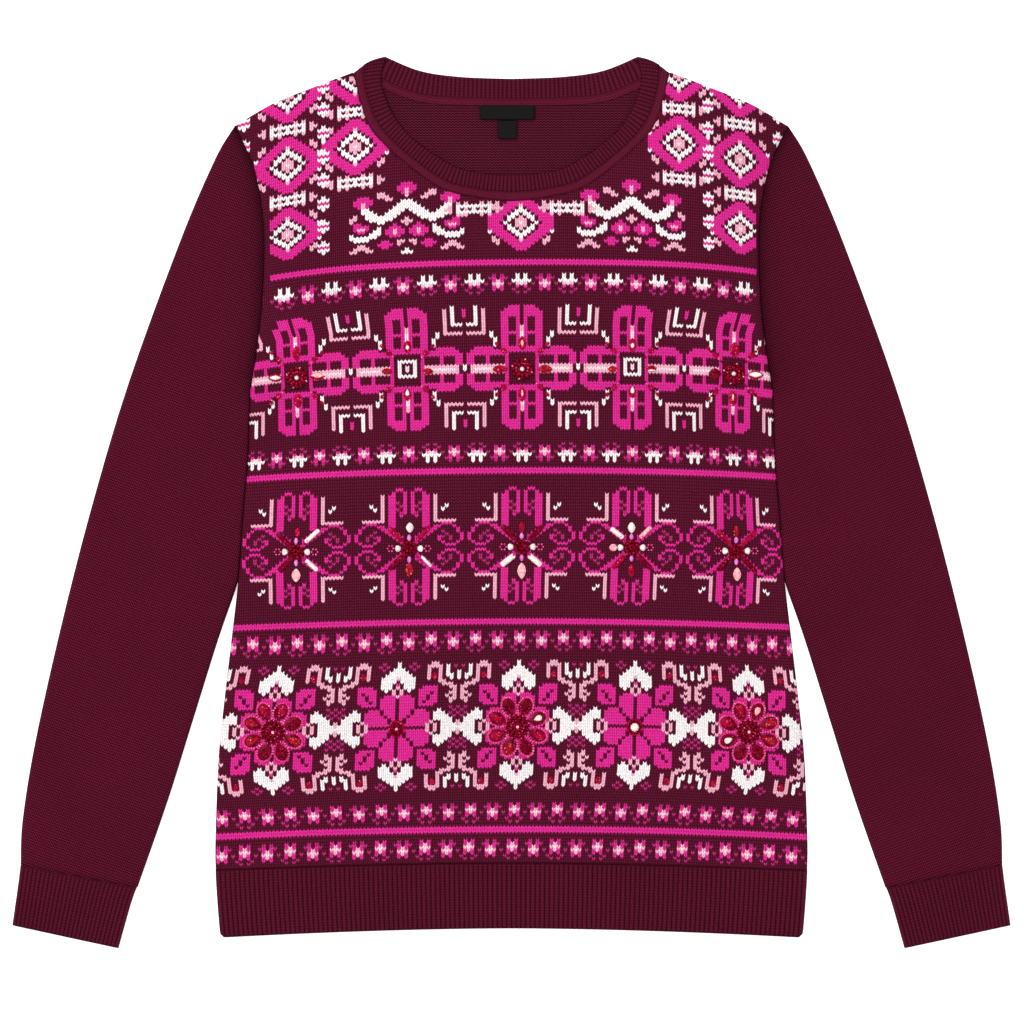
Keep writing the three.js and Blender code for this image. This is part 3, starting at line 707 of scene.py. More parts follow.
@dataclass(frozen=True)
class StoneFinish:
    """Cut stone or glass bead, with a deeper colour and a lighter one of painted facet light over its
    facets, and painted glints.
    """

    name: str
    deep: Colour
    bright: Colour
    painted_glint: Colour
    facet_scale: float = 420.0
    sparkle_scale: float = 900.0
    sparkle_level: float = 0.74
    roughness: float = 0.3

    def build(self) -> bpy.types.Material:
        """Builds the material."""
        material, sheet, shader = new_material(
            self.name, {"Roughness": self.roughness, "Specular IOR Level": 0.04}
        )
        place = sheet.place(stitches=False)
        # Painted facet light: noise mixes the lighter colour over the deep one
        depth = sheet.stretched(sheet.noise(place, self.facet_scale, 1.0), -0.7, 1.5)
        body = sheet.mix(depth, self.deep, self.bright)
        # Painted glints: the brightest noise spots take the glint colour
        glint = sheet.noise(place, self.sparkle_scale, 0.0)
        sparkle = sheet.math("GREATER_THAN", glint, self.sparkle_level)
        sheet.feed(shader.inputs["Base Color"], sheet.mix(sparkle, body, self.painted_glint))
        return material


# The front's chart of stitches

STAR_PALE = """
.m...h.
pm..hm.
bp...mp
pm.h.pb
.m...mp
..h..m.
.h.....
""".split()
STAR_WHITE = [".w...h.", ".w..hm.", "www..mp", "bp.h.pb", *STAR_PALE[4:]]
WINDOW_FLOWER = """
.mmm........w...
.mmmm.....p.w..m
.mmmmm....p.w..m
.mmmmm....p.w..m
.m..mm....p.w...
.m..mm....p.w...
.m..mm....p.www.
pm..mm....p.....
pm..mm....p.....
bmmmmm..w.ppppp.
bm..mm..w.......
bm..mm.w........
mm..mm.w........
mm..mm.w........
mmmmmm..mmmmm...
mmmmm.mmmmmmmm..
....mmmmmmmmmmm.
....m....m...mm.
www.m....m...mm.
..w.m....m...mm.
..w.mppppppppp..
..w.mbbbbbbbbp.w
""".split()
SCROLL_CROSS = """
..mm............
.m..m...........
.m..mm.p........
.m..mm.p........
.m.hmm.p........
.mh.mm.p..w.....
.m.hmm.p.w......
.mh.mm.p........
..m.mm.p........
....mm.p........
....mm.pppppp...
....mm...mmm....
....mm.mm...m...
.....mmm.....m..
....mmm..h...m..
...mmm....h...m.
..mmm...mh.h..m.
..mm....m..h..m.
..m......m...m..
..........mmm...
................
""".split()
ROSE = """
w...h....pp......
w..h.h..pppp.w.h.
ww..h...p..p.w...
www.....p..p.w..w
wwww....p..p.ww.w
pwwww...p..p..w.w
.wwww......pp....
m.www.......ppp..
p.www..mmmm...pp.
.p.w..mmmmm....p.
.p....mmm.m...pp.
pmmm..mm.mm..p.p.
.mmmm.mm.mm...pp.
.mmmm.m.mmm...p..
.mmmm.mmmm.......
.mmmm.........h.h
.mmm.mmm...w...h.
.mmm.mmmm.www.h.h
.mm.mmmmm.wwww.h.
.m.mmmmmm.wwwww..
...mmmmmmp..www.p
..mmmmmmp.p.wwwwp
........p.p.wwww.
""".split()
ROSETTE = """
mm.......
mmm......
mmmm..p..
pmmmm.pp.
w.mmmm.p.
ww.mmmm..
.ww.mmmmw
p.ww.mmmm
pp.w.mmmm
bp..w.mmm
""".split()
LYRE = """
mm..............
mmm.............
pmm.............
pm....pp........
p....ppp..mmm...
....pp...mmmmm..
ww.......mmpmm..
www.......mpm...
wwww......ww....
.wwww....www....
..wwww..www..p..
...wwwwwwww..pp.
p...wwwwww....p.
pp....ww....mm..
p..m......mmmm..
..mmm..w..mppm..
.mmpmm.ww..mm...
.mmpmm.www....w.
..mmm...wwwwwww.
..........wwww..
.pp..mm.........
..p.mmmm...pp...
.....mm...pppp..
w........pp..pp.
ww..............
""".split()
CHAIN = """
..p.p...
wwwww.p.
w.p.w.pp
""".split()
CHAIN_LINK = """
w.
ww
mm
""".split()


@dataclass
class StitchChart:
    """The front's stitches, each with a yarn, counted from the middle wale and the hem seam."""

    half_wales: int = 84
    courses: int = 275
    yarns: np.ndarray = field(init=False)

    def __post_init__(self) -> None:
        """Fills the chart with the ground yarn and knits the bands in."""
        self.yarns = np.zeros((self.courses, 2 * self.half_wales + 1), int)
        self.knit_bands()
        self.knit_yoke()

    def put(self, wale: np.ndarray, course: np.ndarray, yarn: Yarn) -> None:
        """Knits stitches in a yarn, leaving out those that fall off the chart."""
        wale, course = np.broadcast_arrays(np.asarray(wale) + self.half_wales, np.asarray(course))
        inside = (wale >= 0) & (wale < self.yarns.shape[1]) & (course >= 0) & (course < self.courses)
        self.yarns[course[inside], wale[inside]] = YARNS.index(yarn)

    def motif(
        self, rows: list[str], wales: list[int], course: int, both_ways: bool = True
    ) -> None:
        """Knits a motif round each of some wales, mirrored from its quarter or its half.

        Args:
            rows: The chart, from its outermost course to its middle one, each from the motif's
                middle wale outwards.
            wales: The motifs' middle wales.
            course: Their middle course, or their lowest one.
            both_ways: Whether they are mirrored downwards as well.
        """
        middles = np.array(wales)
        for height, marks in enumerate(reversed(rows)):
            for out, mark in enumerate(marks):
                if mark in YARN_OF_MARK:
                    around = np.concatenate([middles - out, middles + out])
                    for up in (height, -height)[:1 + both_ways]:
                        self.put(around, course + up, YARN_OF_MARK[mark])

    def band(self, rows: list[str], repeat: int, course: int, both_ways: bool = True) -> None:
        """Knits a motif over and over, from the middle wale out to both sides."""
        reach = self.half_wales // repeat + 1
        self.motif(rows, list(range(-reach * repeat, reach * repeat + 1, repeat)), course, both_ways)

    def stripe(self, course: int) -> None:
        """Knits a magenta stripe two courses high."""
        wales = np.arange(-self.half_wales, self.half_wales + 1)
        self.put(wales, course, Yarn.MAGENTA)
        self.put(wales, course + 1, Yarn.MAGENTA)

    def knit_bands(self) -> None:
        """Knits the bands between the hem and the yoke."""
        for course in (1, 13, 73):
            self.band(STAR_PALE, 12, course, both_ways=False)
        for course in (10, 82, 134, 207):
            self.stripe(course)
        self.band(ROSE, 32, 47)
        self.put(16 + 32 * np.arange(-3, 3), 47, Yarn.WHITE)
        self.band(SCROLL_CROSS, 30, 109)
        self.band(STAR_WHITE[::-1], 12, 138, both_ways=False)
        self.band(WINDOW_FLOWER, 30, 171)
        self.put(np.arange(-75, 76, 30), 172, Yarn.WHITE)
        for middle in range(-60, 61, 30):
            across = middle + np.arange(-2, 3)
            self.put(across, 168, Yarn.GROUND)
            self.put(across, 169, Yarn.WHITE)
            self.put(middle, np.array([171, 172]), Yarn.BLUSH)
            if middle % 60 == 0:
                self.put(*np.meshgrid(middle + np.arange(-3, 4), np.arange(167, 177)), Yarn.GROUND)
        self.band(STAR_WHITE, 12, 197, both_ways=False)

    def knit_yoke(self) -> None:
        """Knits the yoke in a layout of its own: rosettes, lyres and beaded chains."""
        self.motif(ROSETTE, [0], 221)
        self.motif(LYRE, [-29, 29], 212, both_ways=False)
        for wale, course in ((59, 223), (59, 247), (59, 271), (42, 250), (42, 274)):
            self.motif(ROSETTE, [-wale, wale], course)
        for wale, course in ((59, 235), (59, 259), (42, 238), (42, 262), (12, 226)):
            self.motif(CHAIN, [-wale, wale], course)
        for course in range(216, 286, 8):
            self.motif(CHAIN_LINK, [-70, -50, 50, 70], course)
        out = self.half_wales - 63
        self.yarns[190:240, :out] = 0
        self.yarns[190:240, -out:] = 0


# Pieces


@dataclass
class FrontPanel:
    """The charted front, whose courses arch and whose wales close up towards the sides."""

    chart: StitchChart = field(default_factory=StitchChart)
    wall: float = 0.9
    outer_wale: int = 78
    places: Rows = field(default_factory=lambda: [
        (0, -212.6, -104.6, 0.4, 102.2, 206.2, -270.5, -266.9, -265.4, -266.9, -270.4),
        (4, -213.1, -104.8, 0.2, 101.9, 205.9, -262.9, -259.6, -257.6, -258.8, -263.0),
        (11, -212.7, -104.1, 1.2, 102.9, 206.4, -247.0, -242.9, -241.6, -242.5, -246.6),
        (16, -212.5, -103.7, 1.9, 103.6, 206.7, -235.1, -231.5, -229.6, -230.9, -235.3),
        (33, -217.0, -105.5, 3.7, 108.6, 211.5, -202.1, -198.2, -195.8, -196.5, -203.0),
        (47, -215.4, -104.3, 4.4, 109.1, 211.0, -171.2, -168.6, -166.4, -167.2, -172.6),
        (61, -213.3, -103.3, 5.2, 109.9, 210.5, -141.0, -139.2, -136.5, -137.7, -142.2),
        (76, -206.5, -100.0, 6.0, 109.0, 206.1, -109.2, -106.3, -103.9, -105.0, -109.6),
        (83, -206.5, -100.0, 6.4, 109.6, 206.7, -93.5, -89.8, -88.4, -89.5, -92.7),
        (96, -207.1, -100.1, 6.9, 110.7, 207.9, -66.1, -63.0, -61.0, -62.4, -65.9),
        (109, -208.1, -100.2, 7.5, 111.9, 209.0, -39.3, -36.0, -34.0, -35.1, -39.2),
        (122, -206.0, -100.3, 7.7, 112.1, 206.4, -14.5, -10.4, -8.5, -9.5, -13.8),
        (135, -204.0, -100.3, 7.9, 112.2, 204.0, 15.4, 20.8, 22.6, 21.6, 17.1),
        (141, -203.0, -100.3, 8.0, 112.3, 203.0, 27.6, 34.0, 35.7, 34.7, 29.9),
        (157, -202.0, -100.9, 8.1, 112.0, 203.0, 57.2, 64.4, 66.4, 65.8, 59.6),
        (171, -201.6, -101.6, 7.9, 112.1, 204.7, 84.8, 93.9, 96.6, 96.0, 88.4),
        (186, -203.0, -102.5, 7.6, 112.0, 206.0, 111.8, 126.1, 129.6, 128.5, 117.6),
        (200, -219.1, -106.0, 7.4, 116.2, 216.0, 135.6, 154.2, 159.2, 157.2, 142.8),
        (208, -219.1, -106.0, 7.4, 116.2, 216.0, 154.6, 172.3, 175.8, 174.3, 161.6),
        (228, -220.1, -106.2, 6.8, 115.6, 216.0, 192.3, 212.8, 219.0, 215.3, 199.6),
        (275, -220.1, -106.2, 6.4, 115.0, 215.8, 293.7, 314.2, 319.2, 316.1, 301.4),
    ])
    folds: Rows = field(default_factory=lambda: [
        (150.0, 120.0, 62.0, 60.0, 9.0, 0.7),
        (-152.0, 116.0, 118.0, 60.0, 9.0, 0.7),
        (60.0, -210.0, 84.0, 70.0, 14.0, 0.4),
        (-80.0, -190.0, 96.0, 70.0, 14.0, 0.4),
    ])

    def spot(self, wale: np.ndarray, course: np.ndarray) -> tuple[np.ndarray, np.ndarray]:
        """Finds where a wale and a course lie on the cloth.

        Each row of the table gives a course, then where five wales, evenly apart, lie across
        and along. Over the wales a place follows the one polynomial of the fourth degree
        through the five, and over the courses it runs straight from row to row.

        Args:
            wale: Wales from the middle one.
            course: Courses from the hem seam.

        Returns:
            The places across and along the garment.
        """
        wale, course = np.broadcast_arrays(np.asarray(wale, float), np.asarray(course, float))
        rows = np.array(self.places, float)
        knots = np.linspace(-1, 1, 5)
        through = np.linalg.inv(np.vander(knots, increasing=True))
        x, y = np.zeros(wale.shape), np.zeros(wale.shape)
        for knot in range(len(knots)):
            weight = np.polynomial.polynomial.polyval(wale / self.outer_wale, through[:, knot])
            x += weight * np.interp(course, rows[:, 0], rows[:, 1 + knot])
            y += weight * np.interp(course, rows[:, 0], rows[:, 6 + knot])
        return x, y

    def height(self, x: np.ndarray, y: np.ndarray) -> np.ndarray:
        """Returns the cloth's top height, rounding over at the side and shoulder folds."""
        side = body_half_width(y) - np.abs(x)
        top = body_top(x, FRONT_NECK_SEAM) - y
        side_reach = np.where(y < UNDERARM[1], FOLD_REACH, SEAM_REACH)
        top_reach = np.where(np.abs(x) > SHOULDER_START_X, FOLD_REACH, SEAM_REACH)
        share = np.minimum(round_over(side, side_reach), round_over(top, top_reach))
        return FRONT_EDGE + (FRONT_TOP - FRONT_EDGE + swell(x, y, self.folds)) * share

    def build(self, material: bpy.types.Material) -> bpy.types.Object:
        """Builds the front, one face to a stitch.

        Args:
            material: The charted knit.

        Returns:
            The piece.
        """
        chart = self.chart
        wales = np.arange(-chart.half_wales, chart.half_wales + 2) - 0.5
        courses = np.arange(chart.courses + 1, dtype=float)
        wale, course = np.meshgrid(wales, courses)
        x, y = self.spot(wale, course)
        edge = body_half_width(y) - SEAM_GAP / 2
        x = np.clip(x, -edge, edge)
        y = np.minimum(y, body_top(x, FRONT_NECK_SEAM) - SEAM_GAP / 2)
        points = np.stack([x, y, self.height(x, y)], axis=-1)
        stitches = np.stack([wale + 0.5, course], axis=-1)
        palette = np.array([yarn.colour for yarn in YARNS])
        below = np.concatenate([chart.yarns[:1], chart.yarns[:-1]])
        piece = grid_piece(
            "front_knit", points, stitches,
            face_colours={"yarn": palette[chart.yarns], "yarn_below": palette[below]},
        )
        dress(piece, material, "front_panel", self.wall)
        return piece


@dataclass
class BackPanel:
    """The plain back, seen inside the neck, whose edges turn up to meet the front's."""

    columns: int = 90
    rows: int = 120
    wall: float = 1.1

    def build(self, material: bpy.types.Material) -> bpy.types.Object:
        """Builds the back, its inner side up.

        Args:
            material: The purl side's knit.

        Returns:
            The piece.
        """
        columns, rows = np.linspace(-1, 1, self.columns + 1), np.linspace(0, 1, self.rows + 1)
        across, up = np.meshgrid(columns, rows)
        level = HEM_SEAM_Y + (NECK_POINT[1] - HEM_SEAM_Y) * up
        x = across * (body_half_width(level) - SEAM_GAP / 2)
        bottom = HEM_SEAM_Y - hem_dip(x, HEM_SEAM_DIP)
        y = bottom + (body_top(x, BACK_NECK_SEAM) - SEAM_GAP / 2 - bottom) * up
        x = across * (body_half_width(y) - SEAM_GAP / 2)
        y = np.minimum(y, body_top(x, BACK_NECK_SEAM) - SEAM_GAP / 2)
        edge = np.minimum(body_half_width(y) - np.abs(x), body_top(x, BACK_NECK_SEAM) - y)
        z = BACK_EDGE - BACK_TURN * round_over(edge, FOLD_REACH)
        stitches = np.stack([x / SLEEVE_WALE, y / SLEEVE_COURSE], axis=-1)
        piece = grid_piece("back_knit", np.stack([x, y, z], axis=-1), stitches)
        dress(piece, material, "back_panel", self.wall)
        return piece


@dataclass
class HemWelt:
    """The ribbed welts of the front and back, one over the other."""

    ribs: int = 124
    points_per_rib: int = 6
    rows: int = 22
    rib_height: float = 0.55
    side_top: float = 217.7
    side_foot: float = 214.2
    depth: float = 48.0
    fold_depth: float = 47.5
    corner: float = 2.6
    wall: float = 0.9

    def build(self, material: bpy.types.Material, front: bool) -> bpy.types.Object:
        """Builds one welt.

        A rib stands as the square root of a sine's half wave across it, and fades at the seam.
        The sides draw in by a power of the way down, and the foot's corners are cut round.
        Painted shade darkens the grooves between the ribs and the seam under the body.

        Args:
            material: The ribbed knit.
            front: Whether it is the front welt, with its ribs up.

        Returns:
            The piece.
        """
        columns = np.linspace(-1, 1, self.ribs * self.points_per_rib + 1)
        across, down = np.meshgrid(columns, rib_rows(self.rows))
        tuck = tucked(down)
        half_width = self.side_top + (self.side_foot - self.side_top) * down**1.3
        corner = self.corner * np.clip((down - 0.93) / 0.07, 0, 1) ** 2.5
        x = across * (half_width - corner * np.abs(across) ** 40)
        top = HEM_SEAM_Y - SEAM_GAP
        dip = hem_dip(x, HEM_SEAM_DIP + (HEM_DIP - HEM_SEAM_DIP) * down)
        y = top + (HEM_MIDDLE_Y - top) * down - dip + 1.4 * tuck
        rib = np.sqrt(np.abs(np.sin(math.pi * self.ribs * (across + 1) / 2)))
        fade = np.clip(down / 0.04, 0, 1)
        foot = round_over((1 - down) * self.fold_depth, RIB_FOOT_REACH)
        side = round_over(half_width - np.abs(x), FOLD_REACH if front else WELT_BACK_REACH)
        if front:
            height = FRONT_TOP - FRONT_EDGE - self.rib_height * (1 - rib * fade)
            z = FRONT_EDGE + height * side * (0.45 + 0.55 * foot) - 1.1 * tuck
        else:
            z = BACK_EDGE - BACK_TURN * side - 0.3 * (1 - foot) - 0.5 * tuck
        wales = (across + 1) / 2 * self.ribs * 2
        stitches = np.stack([wales, down * self.depth / SLEEVE_COURSE], axis=-1)[::-1]
        points = np.stack([x, y, z], axis=-1)[::-1]
        # Painted shade in the grooves between the ribs and along the seam under the body
        shade = 0.95 * (1 - rib) * fade + 0.4 * np.exp(-((down * self.depth / 1.1) ** 2))
        word = "front" if front else "back"
        piece = grid_piece(
            f"hem_welt_{word}", points, stitches, point_values={"shade": shade[::-1]}
        )
        dress(piece, material, f"hem_rib_{word}", self.wall)
        return piece


@dataclass
class Sleeve:
    """A sleeve folded flat: one closed tube from the armhole to the cuff's seam."""

    side: Side
    stations: int = 150
    top_points: int = 30
    wall: float = 0.9
    seam_tuck: float = -0.6
    under_tuck: float = -0.5
    knit_lean: float = 20.0
    creases: Rows = field(default_factory=lambda: [
        (222.0, 160.0, -70.0, 60.0, 9.0, 0.9),
        (262.0, 40.0, -72.0, 70.0, 12.0, 0.8),
        (300.0, -120.0, -74.0, 90.0, 14.0, 0.7),
        (215.0, 60.0, -64.0, 46.0, 6.0, -0.6),
        (238.0, 210.0, -66.0, 40.0, 8.0, 0.6),
    ])

    def lines(self) -> tuple[np.ndarray, np.ndarray, float]:
        """Returns the seam side and the outer fold as matched places, and the armhole's share."""
        armhole = smooth_line(ARMHOLE_SEAM, 80)[::-1]
        under = smooth_line(SLEEVE_INNER_EDGE, 120)
        seam = np.concatenate([
            moved_square(armhole, self.seam_tuck)[:-1], moved_square(under, self.under_tuck)
        ])
        inner = placed(seam, np.linspace(0, 1, self.stations + 1))
        outer = smooth_line(SLEEVE_OUTER_EDGE, self.stations)
        return inner, outer, distances(armhole)[-1] / distances(seam)[-1]

    def build(self, material: bpy.types.Material) -> bpy.types.Object:
        """Builds the sleeve.

        Each station is a flat loop: over the top from the seam to the outer fold and back
        below. The top is crowned, dips along the armhole seam and carries the creases, and a
        painted shadow of the body's edge darkens it beside that seam. The knit's courses lean by
        one angle, square to the sleeve.

        Args:
            material: The plain knit.

        Returns:
            The piece.
        """
        inner, outer, armhole_share = self.lines()
        share = np.linspace(0, 1, self.top_points + 1)
        across = (1 - np.cos(math.pi * share)) / 2 * 0.35 + share * 0.65
        top = inner[:, None] + (outer - inner)[:, None] * across[None, :, None]
        width = np.linalg.norm(outer - inner, axis=1)[:, None]
        from_seam = width * across[None]
        along = np.linspace(0, 1, self.stations + 1)[:, None]
        at_armhole = np.clip((armhole_share - along) / 0.04 + 0.5, 0, 1)
        fold = round_over(width - from_seam, TUBE_REACH)
        seam = round_over(from_seam, TUBE_REACH) * (1 - at_armhole) + at_armhole
        middle = SLEEVE_TOP / 2
        crown = SLEEVE_CROWN * np.sin(math.pi * across[None])
        rise = swell(top[..., 0], top[..., 1], self.creases)
        trough = 1.5 * np.exp(-((from_seam / 5.0) ** 2)) * at_armhole
        upper = middle + (middle + crown + rise) * fold * seam - trough
        lower = middle - (middle - TUBE_FOOT) * np.minimum(fold, np.maximum(seam, 0.4))
        # Painted shadow of the body's edge on the sleeve beside the armhole seam
        dark, soft = (np.exp(-((from_seam / reach) ** 2)) for reach in (4.5, 16.0))
        shade = (0.35 * dark + 0.22 * soft) * at_armhole
        around = np.concatenate([top, top[:, -2::-1]], axis=1)
        right, up = turned(0, 0, -self.knit_lean, around[..., 0], around[..., 1])
        stitches = np.stack([right / SLEEVE_WALE, up / SLEEVE_COURSE], axis=-1)
        piece = folded_tube("sleeve_knit", self.side, top, (upper, lower), stitches, shade)
        dress(piece, material, f"sleeve_{self.side.label}", self.wall)
        return piece


@dataclass
class Cuff:
    """A ribbed cuff folded flat: one closed tube with ribs above and below."""

    side: Side
    ribs: int = 27
    points_per_rib: int = 6
    rows: int = 20
    rib_height: float = 0.6
    depth: float = 45.0
    wall: float = 0.8

    def build(self, material: bpy.types.Material) -> bpy.types.Object:
        """Builds the cuff.

        Its ribs are the welt's, over the top and below, and its top is crowned as the sleeve's.

        Args:
            material: The ribbed knit.

        Returns:
            The piece.
        """
        rows = rib_rows(self.rows)
        outer = placed(smooth_line(CUFF_OUTER_EDGE, 100), rows)[:, None]
        inner = placed(smooth_line(CUFF_INNER_EDGE, 100), rows)[:, None]
        points = self.ribs * self.points_per_rib
        share, down = np.linspace(0, 1, points + 1)[None], rows[:, None]
        tuck = tucked(down)
        top = inner + (outer - inner) * share[..., None] + tuck[..., None] * np.array([-0.3, 1.2])
        foot = 0.45 + 0.55 * round_over((1 - down) * self.depth, RIB_FOOT_REACH)
        rib = np.sqrt(np.abs(np.sin(math.pi * self.ribs * share)))
        fade = np.clip(down / 0.05, 0, 1)
        width = np.linalg.norm(outer - inner, axis=-1)
        edge = round_over(width * np.minimum(share, 1 - share), TUBE_REACH)
        middle = SLEEVE_TOP / 2
        crown = SLEEVE_CROWN * np.sin(math.pi * share)
        height = middle + crown + 0.2 - self.rib_height * (1 - rib * fade)
        upper = middle + height * edge * foot - 0.9 * tuck
        lower = middle - (middle - TUBE_FOOT - 0.4 * (1 - rib)) * edge + 0.5 * tuck
        # Painted shade in the grooves between the ribs and along the seam to the sleeve
        shade = 0.9 * (1 - rib) * fade + 0.3 * np.exp(-((down * self.depth / 1.6) ** 2))
        wales = np.arange(2 * points + 1)[None] / points * self.ribs * 2
        stitches = np.dstack(np.broadcast_arrays(wales, -down * self.depth / SLEEVE_COURSE))
        piece = folded_tube("cuff_rib", self.side, top, (upper, lower), stitches, shade)
        dress(piece, material, f"cuff_{self.side.label}", self.wall)
        return piece


@dataclass
class Neckband:
    """The ribbed neckband: over the front with a linking roll, and turned inside at the back."""

    front_ribs: int = 108
    back_ribs: int = 60
    points_per_rib: int = 6
    rib_height: float = 0.6
    rib_end: float = 0.7
    roll_end: float = 1.05
    front_depth: float = 18.0
    back_depth: float = 19.0
    wall: float = 0.8

    def build_half(self, material: bpy.types.Material, front: bool) -> bpy.types.Object:
        """Builds one half of the band.

        Rows run from its edge to its seam, over the ribs and then the smooth roll. Near its
        two tips it bulges outwards, as the turn of the cloth does.

        Args:
            material: The ribbed knit.
            front: Whether it is the front half, with its outer side up.

        Returns:
            The piece.
        """
        ribs = self.front_ribs if front else self.back_ribs
        steps = ribs * self.points_per_rib // 2
        edge = full_line(drawn_in(FRONT_NECK_EDGE if front else BACK_NECK_EDGE), steps)
        seam = full_line(drawn_in(FRONT_NECK_SEAM if front else BACK_NECK_SEAM), 600)
        seam = placed_across(edge, seam)
        ribbed, rolled = np.linspace(0, 0.66, 12), np.linspace(self.rib_end, self.roll_end, 13)
        across = np.concatenate([ribbed, rolled])[:, None]
        way = distances(edge)
        near_tip = np.exp(-((np.minimum(way, way[-1] - way) / 9.0) ** 2))
        outwards = np.stack([0.43 * np.sign(edge[:, 0]), np.full(len(edge), 0.9)], axis=1)
        bulge = 2.0 * np.sin(math.pi * np.clip(across, 0, 1)) * near_tip
        plan = edge[None] + (seam - edge)[None] * across[..., None] + bulge[..., None] * outwards
        count = plan.shape[1]
        rib = np.abs(np.sin(np.linspace(0, math.pi * ribs, count)))[None] ** 0.75
        depth = self.front_depth
        lip = round_over(across * depth, RIB_FOOT_REACH)
        if front:
            in_ribs = np.clip((self.rib_end - across) / 0.03, 0, 1)
            turn = (across - self.rib_end) / (self.roll_end - self.rib_end)
            roll = np.sin(math.pi * np.clip(turn, 0, 1)) ** 0.6
            z = 2.5 + 1.6 * lip + self.rib_height * rib * in_ribs * lip + 0.9 * roll
            # Painted shade in the rib grooves, in the groove before the roll and along the seam
            groove = 0.35 * np.exp(-(((across - self.rib_end) * depth / 0.9) ** 2))
            seam_shade = 0.5 * np.exp(-(((across - self.roll_end) * depth / 0.8) ** 2))
            shade = np.maximum(0.8 * (1 - rib) * in_ribs + groove, seam_shade)
        else:
            in_ribs = np.clip((0.78 - across) / 0.04, 0, 1)
            z = 0.9 + 0.9 * lip + self.rib_height * rib * in_ribs * lip + 0.25 * (1 - in_ribs)
            # Painted shade in the rib grooves and in the groove where they end
            groove = 0.35 * np.exp(-(((across - 0.8) * self.back_depth / 0.8) ** 2))
            shade = 0.8 * (1 - rib) * in_ribs + groove
        wales = np.linspace(0, ribs * 2, count)[None]
        courses = across * self.back_depth / SLEEVE_COURSE
        stitches = np.dstack(np.broadcast_arrays(wales, courses))
        word = "front" if front else "back"
        piece = grid_piece(
            f"neck_rib_{word}", np.dstack([plan, z]), stitches, point_values={"shade": shade}
        )
        dress(piece, material, "neckband", self.wall)
        return piece


@dataclass
class WovenLabel:
    """A bare woven label with rounded corners and turned-under ends."""

    name: str
    node: str
    middle_x: float
    top_y: float
    width: float
    depth: float
    thread: float = 0.45
    wall: float = 0.5

    def build(self, material: bpy.types.Material) -> bpy.types.Object:
        """Builds the label as a shallow cushion of tape, pinched in at its corners.

        Args:
            material: The woven tape.

        Returns:
            The piece.
        """
        across, up = np.meshgrid(np.linspace(-1, 1, 33), np.linspace(-1, 1, 17))
        wide, deep = self.width / 2, self.depth / 2
        pinch = 0.6 * (np.abs(across) ** 14) * (np.abs(up) ** 14)
        x = self.middle_x + across * (wide - pinch)
        y = self.top_y - deep + up * (deep - pinch)
        edge = np.minimum(wide * (1 - np.abs(across)), deep * (1 - np.abs(up)))
        points = np.stack([x, y, 2.5 + 0.6 * round_over(edge, 0.8)], axis=-1)
        piece = grid_piece(self.name, points, points[..., :2] / self.thread)
        dress(piece, material, self.node, self.wall)
        return piece


class Cut(Enum):
    """The stones' shapes."""

    MARQUISE = "marquise"
    TEARDROP = "teardrop"
    BUGLE = "bugle"
    SEED = "seed"


